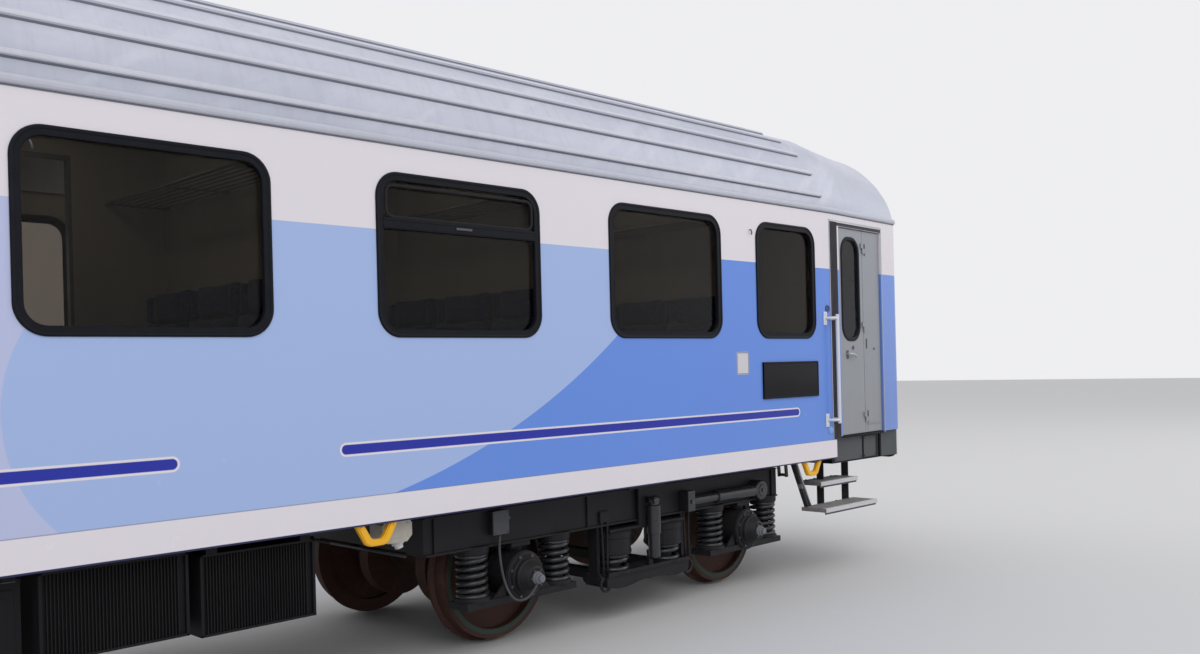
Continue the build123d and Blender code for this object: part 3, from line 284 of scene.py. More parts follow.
class Value:
    """A node's output to reckon with: each sum, product and so on adds a node to its tree"""

    def __init__(self, made, output=0):
        self.socket = made.outputs[output]
        self.tree = made.id_data

    def math(self, operation, *values):
        values = dict(enumerate(values))
        return Value(add_node(self.tree, "ShaderNodeMath", values, operation=operation))

    def __add__(self, other):
        return self.math("ADD", self, other)

    def __mul__(self, other):
        return self.math("MULTIPLY", self, other)

    def __sub__(self, other):
        return self.math("SUBTRACT", self, other)

    def __rsub__(self, other):
        return self.math("SUBTRACT", other, self)

    def __or__(self, other):
        """The greater one"""
        return self.math("MAXIMUM", self, other)

    def __abs__(self):
        return self.math("ABSOLUTE", self)

    def clamped(self):
        self.socket.node.use_clamp = True
        return self

    def ramp(self, low, high, start=0.0, end=1.0, kind="LINEAR"):
        """Goes from start to end while this value goes from low to high"""
        values = {"Value": self, "From Min": low, "From Max": high, "To Min": start, "To Max": end}
        return Value(add_node(self.tree, "ShaderNodeMapRange", values, interpolation_type=kind))

    def over(self, edge, soft):
        """0 below the edge, 1 above it, over a soft width"""
        return self.ramp(edge - soft, edge + soft, kind="SMOOTHSTEP")

    def within(self, low, high, soft):
        return self.over(low, soft) * (1.0 - self.over(high, soft))

    def mix(self, a, b):
        """A colour between two others, by this factor"""
        values = {"Factor": self, 6: a, 7: b}
        return Value(add_node(self.tree, "ShaderNodeMix", values, data_type="RGBA"), 2)

    def parts(self):
        """x, y and z of this vector"""
        split = add_node(self.tree, "ShaderNodeSeparateXYZ", {0: self})
        return [Value(split, i) for i in range(3)]

    def mapped(self, **values):
        return Value(add_node(self.tree, "ShaderNodeMapping", {"Vector": self, **values}))

    def noise(self, scale, detail=3.0, roughness=0.5, stretch=None):
        place = self.mapped(Scale=stretch) if stretch else self
        values = {"Vector": place, "Scale": scale, "Detail": detail, "Roughness": roughness}
        return Value(add_node(self.tree, "ShaderNodeTexNoise", values), "Fac")

    def wave(self, direction, scale, distortion):
        values = {"Vector": self, "Scale": scale, "Distortion": distortion}
        bands = add_node(self.tree, "ShaderNodeTexWave", values, bands_direction=direction)
        return Value(bands, "Fac")

    def use(self, group, **values):
        """Outputs by name of a shader group placed in this tree"""
        values = {key.replace("_", " "): value for key, value in values.items()}
        made = add_node(self.tree, "ShaderNodeGroup", values, node_tree=group)
        return {socket.name: Value(made, socket.name) for socket in made.outputs}


def place_in(tree):
    return Value(add_node(tree, "ShaderNodeTexCoord"), "Object")


def as_group(recipe, inputs, outputs):
    """A shader group: the recipe takes the place and the inputs, and gives the outputs"""
    group = bpy.data.node_groups.new(recipe.__name__, "ShaderNodeTree")
    for label, value in inputs.items():
        kind, value = (
            ("Float", value) if isinstance(value, float) else ("Color", (*value, 1.0)))
        socket = group.interface.new_socket(
            label, in_out="INPUT", socket_type="NodeSocket" + kind)
        socket.default_value = value
    for label in outputs:
        kind = "NodeSocketColor" if label == "Color" else "NodeSocketFloat"
        group.interface.new_socket(label, in_out="OUTPUT", socket_type=kind)
    source = group.nodes.new("NodeGroupInput")
    made = recipe(place_in(group), *[Value(source, label) for label in inputs])
    add_node(group, "NodeGroupOutput", dict(zip(outputs, made)))
    return group


def running_dirt(place, clean, dirt, amount, low, high):
    """Dust in blotches and streaks that run down, stronger towards the bottom"""
    cover = place.noise(1.3, 5.0, 0.6) * place.noise(3.0, 4.0, 0.6, (6.0, 6.0, 0.25)) * 3.2
    fall = place.parts()[2].ramp(low, high, 1.0, 0.25)
    mask = (cover * (fall * amount)).clamped()
    return mask.mix(clean, dirt), mask


def paint_skin(place, wave, grain):
    """Slight waviness of painted sheet and fine orange peel, as a height"""
    height = place.noise(1.7, 1.0) * wave + place.noise(60.0, 2.0) * grain
    return height, place.noise(5.0, 5.0, 0.65)


def rust_and_dust(place, base, rust, dust, rust_amount, dust_amount):
    """Rust and caked dust over a base colour; dust lies on what faces up"""
    coarse = place.noise(4.0, 6.0, 0.65)
    both = coarse * 0.6 + place.noise(38.0, 4.0, 0.7) * 0.4
    rusty = ((both - (0.72 - rust_amount * 0.5)) * 6.0).clamped()
    normal = Value(add_node(place.tree, "ShaderNodeNewGeometry"), "Normal")
    up = normal.parts()[2].ramp(-0.2, 1.0)
    dusty = ((up + 0.25) * (coarse + 0.15) * dust_amount).clamped()
    return dusty.mix(rusty.mix(base, rust), dust), both, rusty | dusty


RUNNING_DIRT = as_group(
    running_dirt, {"Clean": (0.5, 0.5, 0.5), "Dirt": (0.2, 0.17, 0.14), "Amount": 0.2,
                   "Low": 0.9, "High": 1.8}, ("Color", "Mask"))
PAINT_SKIN = as_group(paint_skin, {"Wave": 0.5, "Grain": 0.2}, ("Height", "Vary"))
RUST_AND_DUST = as_group(
    rust_and_dust, {"Base": (0.05, 0.05, 0.05), "Rust": (0.12, 0.05, 0.025),
                    "Dust": (0.20, 0.17, 0.14), "Rust Amount": 0.3, "Dust Amount": 0.3},
    ("Color", "Height", "Mask"))


# By their own names, since materials of the solids have some of these names too
MATERIALS = {}


def new_material(name, make, bump=None, plain=None):
    """make gives colour, roughness and height from the place; bump is (strength, distance)"""
    made = MATERIALS[name] = bpy.data.materials.new(name)
    made.use_nodes = True
    tree = made.node_tree
    tree.nodes.clear()
    base, rough, height = make(place_in(tree))
    values = {"Base Color": base, "Roughness": rough, **(plain or {})}
    if bump:
        lift = {"Height": height, "Strength": bump[0], "Distance": bump[1]}
        values["Normal"] = Value(add_node(tree, "ShaderNodeBump", lift))
    shader = add_node(tree, "ShaderNodeBsdfPrincipled", values)
    add_node(tree, "ShaderNodeOutputMaterial", {0: Value(shader)})


def painted(name, base, roughness, dirt, low=0.9, high=2.0, wave=0.4, grain=0.04, vary=0.12,
            dull=0.4, bump=0.15, dirt_colour=(0.22, 0.19, 0.16), metallic=0.0, coat=0.0,
            coat_rough=0.08, sheen=0.5, glow=0.0):
    """Painted sheet metal with dust and a slightly wavy skin; base may be worked out from
    the place"""
    def make(place):
        skin = place.use(PAINT_SKIN, Wave=wave, Grain=grain)
        dust = place.use(
            RUNNING_DIRT, Clean=base(place) if callable(base) else base, Dirt=dirt_colour,
            Amount=dirt, Low=low, High=high)
        rough = (skin["Vary"] * vary + dust["Mask"] * dull + roughness).clamped()
        return dust["Color"], rough, skin["Height"]

    return new_material(name, make, (bump, 0.01), {
        "Metallic": metallic, "Specular IOR Level": sheen, "Emission Color": (1.0, 0.96, 0.88),
        "Emission Strength": glow, "Coat Weight": coat, "Coat Roughness": coat_rough})


def grimy(name, base, roughness, rust, dust, metallic=0.0, bump=0.25, reach=0.004, dull=0.35,
          rust_colour=(0.10, 0.045, 0.025), dust_colour=(0.17, 0.145, 0.12), sheen=0.15):
    """Running gear: paint or iron under rust and dust"""
    def make(place):
        cover = place.use(
            RUST_AND_DUST, Base=base(place) if callable(base) else base, Rust=rust_colour,
            Dust=dust_colour, Rust_Amount=rust, Dust_Amount=dust)
        return cover["Color"], (cover["Mask"] * dull + roughness).clamped(), cover["Height"]

    return new_material(
        name, make, (bump, reach), {"Metallic": metallic, "Specular IOR Level": sheen})


# Livery of the sides and end walls
WHITE = (0.745, 0.70, 0.73)
BASE_BLUE, LIGHT_BLUE = (0.472, 0.510, 0.722), (0.358, 0.468, 0.748)
MID_BLUE, STRIPE_BLUE = (0.125, 0.260, 0.715), (0.010, 0.022, 0.340)
# The lip colour is painted shade along the lower edge of the skirt
JOINT_BLUE, LIP_SHADE_BLUE = (0.13, 0.14, 0.24), (0.010, 0.012, 0.070)
LINING = (0.56, 0.53, 0.47)
WAIST_LINE, SKIRT_LINE, SKIRT_EDGE = RAIL + 2.650, RAIL + 1.159, RAIL + 0.995
STRIPE_Z, STRIPE_HALF, STRIPE_EDGE = RAIL + 1.426, 0.0265, 0.012
# Ends of the stripe's two runs along the coach
STRIPE_RUNS = ((-4.846, 4.846), (5.765, 10.203))
# Round edges of the blue fields: x, z and radius
LIGHT_CIRCLE = (4.807, RAIL + 1.694, 0.740)
MID_CIRCLE = (4.839, RAIL + 6.234, 5.230)
FIELD_SOFT, LINE_SOFT = 0.003, 0.0015


def livery(place):
    """White top and skirt, blue fields between them, and a stripe with rounded ends"""
    x, y, z = place.parts()
    # The same fields at both ends
    x = abs(x)

    def away(dx, cz):
        dz = z - cz
        squares = dx * dx + dz * dz
        return squares.math("SQRT", squares)

    def disc(cx, cz, radius):
        return 1.0 - away(x - cx, cz).over(radius, FIELD_SOFT)

    def stripe(half):
        """Both runs, at a half height"""
        runs = []
        for start, end in STRIPE_RUNS:
            past_end = abs(x - (start + end) / 2) - ((end - start) / 2 - STRIPE_HALF) | 0.0
            runs.append(1.0 - away(past_end, STRIPE_Z).over(half, 0.002))
        return runs[0] | runs[1]

    # The light field runs from the bulge at its left end to the mid-blue field
    light = disc(*LIGHT_CIRCLE) | x.over(LIGHT_CIRCLE[0], FIELD_SOFT)
    mid = ((1.0 - disc(*MID_CIRCLE)) * x.over(5.5, FIELD_SOFT)
           * (1.0 - z.over(MID_CIRCLE[1], FIELD_SOFT)))
    paint = mid.mix(light.mix(BASE_BLUE, LIGHT_BLUE), MID_BLUE)
    paint = stripe(STRIPE_HALF + STRIPE_EDGE).mix(paint, WHITE)
    paint = stripe(STRIPE_HALF).mix(paint, STRIPE_BLUE)
    paint = z.within(SKIRT_LINE, WAIST_LINE, LINE_SOFT).mix(WHITE, paint)
    # Joint over the skirt, and a dark band of painted shade along its lower edge
    joint = z.within(SKIRT_LINE - 0.003, SKIRT_LINE + 0.003, 0.001)
    paint = (joint * 0.55).mix(paint, JOINT_BLUE)
    paint = z.over(SKIRT_EDGE + 0.010, LINE_SOFT).mix(LIP_SHADE_BLUE, paint)
    # The inner face of the walls is lined
    depth = abs(y) + (x - TAPER_START | 0.0) * TAPER
    inner = (1.0 - depth.over(HALF_WIDTH - 0.045, 0.001)) * (1.0 - x.over(10.80, 0.001))
    return inner.mix(paint, LINING)


def end_paint(place):
    """White above, blue below down to the sill"""
    return place.parts()[2].over(WAIST_LINE, LINE_SOFT).mix(MID_BLUE, WHITE)


def roof_paint(place):
    """Weathered silver-grey with pale run marks between the ribs"""
    blotch = place.noise(1.1, 6.0, 0.6, (0.35, 2.0, 2.0))
    spots = place.noise(18.0, 5.0, 0.65)
    runs = place.noise(2.2, 5.0, 0.6, (7.0, 0.5, 0.5))
    wiped = place.mapped(Rotation=(0.0, 0.6, 0.0)).noise(1.4, 4.0, 0.55, (0.6, 1.0, 4.0))
    paint = blotch.ramp(0.35, 0.7).mix((0.44, 0.46, 0.54), (0.57, 0.57, 0.65))
    for marks, edge, soft, share, tone in (
            (spots, 0.60, 0.08, 0.22, (0.38, 0.40, 0.46)),
            (runs, 0.56, 0.06, 0.16, (0.36, 0.38, 0.44)),
            (wiped, 0.57, 0.07, 0.22, (0.68, 0.69, 0.76))):
        paint = (marks.over(edge, soft) * share).mix(paint, tone)
    return paint, blotch * 0.22 + 0.34, place.noise(2.4, 2.0) * 0.8 + spots * 0.06


def glass(name, tint):
    """Tinted pane with faint streaks in its gloss"""
    def make(place):
        streak = place.noise(6.0, 4.0, 0.6, (1.0, 1.0, 0.3))
        pale = [c * 1.6 + 0.01 for c in tint]
        return (streak * 0.25).mix(tint, pale), streak * 0.01, None

    new_material(name, make, plain={"IOR": 1.20, "Transmission Weight": 1.0})


def rubber(name, base, roughness, folds=0.0):
    def make(place):
        vary = place.noise(12.0, 4.0, 0.6)
        height = place.noise(90.0, 3.0) * 0.12
        if folds:
            height = height + place.wave("Z", folds, 0.4)
        worn = [c * 1.8 + 0.004 for c in base]
        return vary.mix(base, worn), vary * 0.25 + (roughness - 0.1), height

    bump = (0.6, 0.010) if folds else (0.12, 0.002)
    new_material(name, make, bump, {"Specular IOR Level": 0.10})


def cloth(place):
    """Woven seat cloth: crossing threads with a small pattern"""
    blue, grey = (0.020, 0.045, 0.16), (0.10, 0.10, 0.22)
    weave = place.wave("Y", 160.0, 0.6) * place.wave("Z", 160.0, 0.6)
    paint = (place.noise(45.0, 2.0).over(0.58, 0.04) * 0.7).mix(blue, grey)
    paint = (weave * 0.35).mix(paint, [c * 0.45 for c in blue])
    return paint, weave * 0.12 + 0.82, weave


def tread_metal(place):
    """Worn grey treads and foot plates; hangers and brace dark"""
    x, y, z = place.parts()
    lower = z.within(RAIL + 0.532, RAIL + 0.573, 0.0005) * abs(y).over(1.1498, 0.0005)
    upper = z.within(RAIL + 0.7375, RAIL + 0.778, 0.0005)
    tread = abs(x).over(11.6, 0.001) | lower | upper
    worn = place.noise(22.0, 4.0, 0.6).over(0.5, 0.2).mix(
        (0.27, 0.26, 0.25), (0.19, 0.185, 0.18))
    return tread.mix((0.016, 0.017, 0.020), worn)


new_material("roof_silver", roof_paint, (0.15, 0.012), {"Metallic": 0.10})
new_material("seat_cloth", cloth, (0.3, 0.001), {"Sheen Weight": 0.3})
glass("tinted_glass", (0.300, 0.275, 0.250))
glass("door_glass", (0.33, 0.335, 0.345))
rubber("black_rubber", (0.005, 0.0055, 0.008), 0.42)
rubber("gangway_rubber", (0.020, 0.020, 0.021), 0.62, folds=3.2)
rubber("cable_black", (0.055, 0.055, 0.060), 0.45)
rubber("guard_rubber", (0.045, 0.042, 0.048), 0.55)

# Name, colour, roughness, dirt, then what differs from plain paint
painted("side_livery", livery, 0.20, 0.022, low=0.95, high=1.7, wave=0.55, grain=0.03, vary=0.10,
        dull=0.5, bump=0.10, dirt_colour=(0.34, 0.30, 0.26), coat=0.08, coat_rough=0.06,
        sheen=0.35)
painted("end_livery", end_paint, 0.25, 0.25, low=1.1, high=2.4, grain=0.03, vary=0.0, dull=0.5,
        bump=0.10, dirt_colour=(0.24, 0.21, 0.18), coat=0.2)
painted("door_grey", (0.27, 0.285, 0.31), 0.32, 0.22, low=1.2, high=2.4)
painted("yellow_paint", (0.86, 0.44, 0.004), 0.3, 0.05, low=0.8, high=1.2)
painted("white_rail", (0.72, 0.72, 0.74), 0.3, 0.12)
painted("beige_plastic", (0.50, 0.46, 0.40), 0.45, 0.35, low=0.8, high=1.2)
painted("display_black", (0.005, 0.005, 0.006), 0.2, 0.03, sheen=0.1)
painted("panel_gloss", (0.005, 0.005, 0.007), 0.04, 0.01, sheen=0.15)
painted("hopper_grey", (0.010, 0.0105, 0.013), 0.40, 0.06, sheen=0.12)
painted("plate_white", (0.62, 0.61, 0.63), 0.4, 0.15)
painted("rail_bright", (0.46, 0.47, 0.50), 0.3, 0.2, metallic=0.3)
painted("cup_blue", (0.020, 0.040, 0.22), 0.3, 0.1)
painted("dome_blue", (0.20, 0.36, 0.74), 0.25, 0.1)
painted("nose_white", (0.60, 0.59, 0.61), 0.4, 0.2, low=0.3, high=1.2)
painted("corner_teal", (0.022, 0.040, 0.052), 0.45, 0.2)
painted("gutter_grey", (0.50, 0.515, 0.59), 0.4, 0.2, low=2.9, high=3.4)
# Paler than the roof: a painted highlight on the seam caps
painted("seam_highlight", (0.60, 0.61, 0.68), 0.35, 0.2, low=3.0, high=4.5)
# Dark grey for the joint under the gutter, with painted shade under its lip, and for the painted
# shade under the seam caps
painted("joint_and_shade_grey", (0.17, 0.18, 0.215), 0.6, 0.15, sheen=0.2)
painted("lamp_red", (0.35, 0.012, 0.010), 0.1, 0.05, coat=0.5)
painted("lining", LINING, 0.5, 0.05)
painted("floor_cover", (0.10, 0.105, 0.115), 0.7, 0.2)
painted("rack_metal", (0.30, 0.30, 0.31), 0.35, 0.05, metallic=0.4)
painted("table_top", (0.30, 0.27, 0.22), 0.35, 0.05)
painted("lamp_white", (0.75, 0.75, 0.72), 0.4, 0.02, glow=1.8)
painted("heater_grey", (0.24, 0.24, 0.25), 0.45, 0.1)

# Name, colour, roughness, rust, dust, then what differs from plain grime
grimy("step_metal", tread_metal, 0.45, 0.04, 0.25, bump=0.2, reach=0.003, dull=0.3,
      rust_colour=(0.12, 0.05, 0.025), dust_colour=(0.26, 0.23, 0.20), sheen=0.5)
grimy("dark_steel", (0.005, 0.005, 0.007), 0.5, 0.06, 0.09)
grimy("fin_black", (0.008, 0.008, 0.010), 0.5, 0.04, 0.18)
grimy("bogie_paint", (0.011, 0.0115, 0.015), 0.42, 0.09, 0.16)
grimy("spring_paint", (0.014, 0.016, 0.021), 0.26, 0.10, 0.15, sheen=0.55)
grimy("wheel_steel", (0.055, 0.024, 0.019), 0.55, 0.40, 0.18, rust_colour=(0.13, 0.05, 0.03))
grimy("ring_green", (0.030, 0.055, 0.045), 0.5, 0.25, 0.25)
grimy("brake_iron", (0.05, 0.045, 0.042), 0.6, 0.4, 0.3, metallic=0.3)
grimy("draw_steel", (0.035, 0.032, 0.030), 0.55, 0.35, 0.2, metallic=0.3)
grimy("bolt_steel", (0.10, 0.10, 0.105), 0.42, 0.15, 0.2, metallic=0.6)
grimy("cap_grey", (0.16, 0.17, 0.19), 0.5, 0.05, 0.3)
grimy("box_grey", (0.085, 0.088, 0.098), 0.5, 0.05, 0.25)

# Finishes of the solids: by whole name first, then by a part of the name
FINISHES = {
    "side_walls": "side_livery", "end_walls": "end_livery", "roof": "roof_silver",
    "window_frames": "black_rubber", "window_glass": "tinted_glass", "ceiling": "lining",
    "partitions": "lining", "floor": "floor_cover", "seats": "seat_cloth",
    "luggage_racks": "rack_metal", "step_boxes": "dark_steel", "underframe": "dark_steel",
    "underfloor_boxes": "dark_steel", "air_reservoirs": "dark_steel",
    "socket_boxes": "beige_plastic", "handrails": "white_rail",
    "lifting_brackets": "yellow_paint", "display_panels": "display_black",
    "steps": "step_metal", "footplates": "step_metal", "buffers": "dark_steel",
    "draw_gear": "draw_steel", "gangways": "gangway_rubber", "tail_lamps": "lamp_red",
}
PART_FINISHES = (("wheelset", "wheel_steel"), ("brake_gear", "brake_iron"),
                 ("springs", "spring_paint"), ("bogie", "bogie_paint"), ("glass", "door_glass"),
                 ("", "door_grey"))
for node_name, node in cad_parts.items():
    by_part = next(finish for part, finish in PART_FINISHES if part in node_name)
    node.data.materials.clear()
    node.data.materials.append(MATERIALS[FINISHES.get(node_name, by_part)])


# Bogies: x from the pivot
FRAME_OUT, FRAME_TOP, FRAME_BOTTOM = 1.080, 0.925, 0.705
SADDLE_TOP, SPRING_Y, SPRING_OFFSET = 0.345, -1.000, 0.370
PLANK_TOP, PLANK_BOTTOM, PLANK_END = 0.332, 0.262, 0.455
CAN_X, CAN_BOTTOM = 0.290, 0.465
TURN_STEPS = 22


def coil(shape, x, low, high, radius, bar, windings):
    """A coil spring whose end turns lie flat"""
    path = []
    for i in range(windings * TURN_STEPS + 1):
        turn = i / TURN_STEPS
        lift = min(max(turn - 0.75, 0.0), windings - 1.5) / (windings - 1.5)
        path.append((x + radius * cos(tau * turn), SPRING_Y + radius * sin(tau * turn),
                     low + bar + (high - low - 2 * bar) * lift))
    shape.tube(path, bar, 8)


def build_springs():
    coils, seats = Shape(), Shape()
    for axle, offset in product((-AXLE, AXLE), (-SPRING_OFFSET, SPRING_OFFSET)):
        x = axle + offset
        coil(coils, x, SADDLE_TOP + 0.018, FRAME_BOTTOM - 0.050, 0.0935, 0.0165, 7)
        seats.lathe((x, SPRING_Y, SADDLE_TOP), UP, (
            (0.0005, 0.118), (0.018, 0.118), (0.024, 0.112), (0.024, 0.070), (0.080, 0.066)), 28)
        seats.lathe((x, SPRING_Y, FRAME_BOTTOM - 0.062), UP, (
            (0, 0.070), (0.004, 0.112), (0.012, 0.117), (0.0615, 0.119)), 28)
        # Rod of the hydraulic damper inside the spring
        seats.rods([(x, SPRING_Y, SADDLE_TOP + 0.02)], UP, 0.310, 0.052, 18)
    for x in (-CAN_X, CAN_X):
        coil(coils, x, PLANK_TOP + 0.012, CAN_BOTTOM + 0.010, 0.112, 0.017, 3)
        seats.lathe((x, SPRING_Y, PLANK_TOP), UP, (
            (0.0005, 0.140), (0.012, 0.140), (0.016, 0.134), (0.016, 0.07), (0.11, 0.066)), 28)
        seats.lathe((x, SPRING_Y, CAN_BOTTOM), UP, (
            (0, 0.085), (0, 0.142), (0.008, 0.149), (0.030, 0.150), (0.034, 0.145),
            (0.120, 0.145), (0.126, 0.150), (0.165, 0.150), (0.1745, 0.138)), 36)
    made = on_bogies("coils", coils, "spring_paint", "spring_steel")
    for piece, (end_name, end) in zip(made, ENDS):
        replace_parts(piece, f"bogie_{end_name}_springs")
    on_bogies("spring_seats", seats, "bogie_paint", "spring_steel")


def axle_circle(x, y, radius, count, first=0.0):
    """Places round an axle's end"""
    return [(x + radius * cos(first + t), y, AXLE_Z + radius * sin(first + t))
            for t in turns(count)]


def build_axle_box_details():
    covers, bolts, caps = Shape(), Shape(), Shape()
    for x in (-AXLE, AXLE):
        covers.lathe((x, -1.100, AXLE_Z), OUT, (
            (0, 0.160), (0.014, 0.160), (0.018, 0.152), (0.020, 0.134), (0.034, 0.130),
            (0.040, 0.122), (0.066, 0.118), (0.072, 0.110), (0.120, 0.078), (0.126, 0.066),
            (0.130, 0.064)), 40)
        # Rings on both faces of the housing
        for y, way in ((-1.095, -1), (-0.905, 1)):
            covers.lathe((x, y, AXLE_Z), (0, way, 0), (
                (0, 0.166), (0.001, 0.168), (0.010, 0.168), (0.011, 0.160)), 36)
        bolts.rods(axle_circle(x, -1.113, 0.138, 8, radians(22.5)), OUT, 0.015, 0.0125)
        bolts.rods(axle_circle(x, -1.228, 0.054, 6), OUT, 0.010, 0.008)
        caps.lathe((x, -1.2295, AXLE_Z), OUT, (
            (0, 0.044), (0.008, 0.043), (0.014, 0.038), (0.030, 0.034), (0.034, 0.027),
            (0.052, 0.025), (0.056, 0.016)), 28)
        # Gusset feet from the housing to the spring saddle
        for side in (-1, 1):
            foot = [(x + side * u, SADDLE_TOP + v) for u, v in
                    ((0.150, 0), (0.255, 0), (0.142, 0.110))]
            covers.sheet(foot, -1.085, -1.070)
    on_bogies("axle_box_covers", covers, "bogie_paint", "bogie_paint")
    on_bogies("axle_box_bolts", bolts, "bolt_steel", "draw_steel")
    on_bogies("axle_box_caps", caps, "cap_grey", "bogie_paint")


def build_frame_details():
    plates, small = Shape(), Shape()
    # Lips of the welded side beam
    for z, thick in ((FRAME_BOTTOM - 0.0005, -0.014), (FRAME_TOP + 0.0005, 0.010)):
        plates.block((-2.055, -FRAME_OUT - 0.016, z), (1.715, -0.896, z + thick), 0.003)
    # Stiffening plates on the outer face
    for x in (-1.98, -0.62, 1.64):
        plates.block((x - 0.008, -FRAME_OUT - 0.015, FRAME_BOTTOM),
                     (x + 0.008, -FRAME_OUT + 0.002, FRAME_TOP), 0.002)
    # Stops over the axle boxes
    for x in (-AXLE, AXLE):
        plates.block((x - 0.085, -1.075, FRAME_BOTTOM - 0.052),
                     (x + 0.085, -0.925, FRAME_BOTTOM - 0.0145), 0.008)
        small.lathe((x, -1.0, FRAME_BOTTOM - 0.088), UP, (
            (0, 0.040), (0.010, 0.052), (0.036, 0.056)), 20)
    # Safety stirrups that hang from the beam down to the spring plank
    for x in (-0.455, 0.470):
        for bar in (-0.030, 0.030):
            low = x + bar * 0.7
            small.tube([(x + bar, -1.088, FRAME_BOTTOM + 0.05),
                        (x + bar, -1.092, FRAME_BOTTOM - 0.02), (low, -1.094, 0.432),
                        (low, -1.094, 0.312)], 0.009, 8)
        eye = [(x + 0.052 * cos(a), -1.094, 0.272 + 0.05 * sin(a))
               for a in (pi * (0.85 + 1.3 * i / 12) for i in range(13))]
        small.tube([(x - 0.021, -1.094, 0.322), *eye, (x + 0.021, -1.094, 0.322)], 0.011, 8)
        small.block((x - 0.048, -1.100, FRAME_BOTTOM + 0.015),
                    (x + 0.048, -1.078, FRAME_BOTTOM + 0.095), 0.004)
    # Bottom of the spring plank, pressed in waves, and the ledge round its top
    outline = [
        (x, PLANK_BOTTOM - 0.025 - 0.013 * cos(tau * (abs(x) - CAN_X) / 0.46))
        for x in (PLANK_END * (i / 24 - 1) for i in range(49))]
    outline += [(PLANK_END, PLANK_BOTTOM + 0.004), (-PLANK_END, PLANK_BOTTOM + 0.004)]
    plates.sheet(outline, -1.113, -0.890)
    plates.block((-0.458, -1.128, PLANK_TOP - 0.012), (0.458, -1.1155, PLANK_TOP + 0.018), 0.004)
    # Clevis and eyes of the plank's links
    for x, y in product((-0.475, 0.475), (-1.058, -0.942)):
        small.rods([(x - 0.028, y, 0.307)], ALONG, 0.056, 0.038, 18)
        small.rods([(x - 0.034, y, 0.307)], ALONG, 0.068, 0.018)
    on_bogies("frame_plates", plates, "bogie_paint", "bogie_paint")
    on_bogies("frame_fittings", small, "bogie_paint", "bogie_paint")


def build_dampers():
    tubes, bolts = Shape(), Shape()
    # Upright damper: dust cover over the lower tube, eyes at both ends
    tubes.lathe((0.020, -1.152, 0.405), UP, (
        (0, 0.030), (0.008, 0.045), (0.180, 0.045), (0.183, 0.054), (0.392, 0.054),
        (0.400, 0.040), (0.455, 0.030)), 28)
    for z in (0.432, 0.833):
        tubes.rods([(-0.010, -1.152, z)], ALONG, 0.060, 0.036, 20)
        bolts.rods([(-0.022, -1.152, z)], ALONG, 0.084, 0.013)
    # Long damper: thick tube, thin rod, end blocks
    z = 0.778
    tubes.lathe((0.500, -1.130, z), ALONG, (
        (0, 0.034), (0.004, 0.0385), (0.30, 0.0385), (0.304, 0.0500), (0.80, 0.0500),
        (0.808, 0.040)), 28)
    tubes.block((0.402, -1.176, z - 0.075), (0.490, -1.082, z + 0.085), 0.012)
    tubes.lathe((1.388, -1.082, z), OUT, (
        (0, 0.078), (0.006, 0.082), (0.080, 0.082), (0.088, 0.074), (0.090, 0.052),
        (0.096, 0.048)), 32)
    bolts.rods([(0.452, -1.186, z), (1.388, -1.186, z)], OUT, -0.018, 0.016)
    bolts.rods([(1.31, -1.130, z)], ALONG, 0.035, 0.020, 16)
    on_bogies("damper_tubes", tubes, "spring_paint", "spring_steel")
    on_bogies("damper_bolts", bolts, "bolt_steel", "draw_steel")


def build_bogie_wiring():
    boxes, lines = Shape(), Shape()
    x, z = -1.475, 0.846
    boxes.block((x - 0.068, -1.142, z - 0.078), (x + 0.068, -1.1305, z + 0.078), 0.005)
    boxes.rods([(x + 0.066, -1.105, z + 0.02)], ALONG, 0.032, 0.016, 12)
    corners = product((x - 0.055, x + 0.055), (-1.141,), (z - 0.065, z + 0.065))
    boxes.rods(corners, OUT, 0.006, 0.006)
    # Conduit from the junction box down and along to the axle end
    conduit = [(x + u, y, z + v) for u, y, v in (
        (0.01, -1.112, -0.075), (-0.005, -1.122, -0.20), (0.000, -1.150, -0.36),
        (0.030, -1.180, -0.47), (0.085, -1.200, -0.515), (0.150, -1.222, -0.500),
        (0.200, -1.240, -0.44), (0.222, -1.252, -0.392))]
    lines.tube(smooth_path(conduit, 6), 0.0085, 8)
    # Air bottle pipe across the inner headstock
    lines.tube([(-2.04, y, FRAME_BOTTOM - 0.03) for y in (-0.86, 0.0)], 0.012, 8)
    on_bogies("junction_covers", boxes, "box_grey", "beige_plastic")
    on_bogies("pipes", lines, "cable_black", "gangway_rubber")


# Repeated parts
ROW_INPUTS = {"Count": "Int", "Start": "Vector", "Step": "Vector", "Size": "Vector",
              "Turn": "Vector", "Material": "Material"}


def build_row_group(name, kind, one_values):
    """A row of equal blocks, or of short round bars, along a line"""
    group = bpy.data.node_groups.new(name, "GeometryNodeTree")
    sockets = [("Geometry", "INPUT", "Geometry")]
    sockets += [(label, "INPUT", kind_of) for label, kind_of in ROW_INPUTS.items()]
    for label, way, kind_of in sockets + [("Geometry", "OUTPUT", "Geometry")]:
        group.interface.new_socket(label, in_out=way, socket_type="NodeSocket" + kind_of)
    source = group.nodes.new("NodeGroupInput")
    given = {label: Value(source, label) for label in ROW_INPUTS}
    line = add_node(group, "GeometryNodeMeshLine", {
        "Count": given["Count"], "Start Location": given["Start"], "Offset": given["Step"]})
    one = add_node(group, kind, one_values)
    spread = add_node(group, "GeometryNodeInstanceOnPoints", {
        "Points": Value(line), "Instance": Value(one), "Scale": given["Size"],
        "Rotation": given["Turn"]})
    real = add_node(group, "GeometryNodeRealizeInstances", {"Geometry": Value(spread)})
    coat = add_node(group, "GeometryNodeSetMaterial", {
        "Geometry": Value(real), "Material": given["Material"]})
    add_node(group, "NodeGroupOutput", {"Geometry": Value(coat)})
    return group


block_row = build_row_group("block_row", "GeometryNodeMeshCube", {})
bolt_row = build_row_group(
    "bolt_row", "GeometryNodeMeshCylinder", {"Vertices": 6, "Radius": 0.5, "Depth": 1.0})


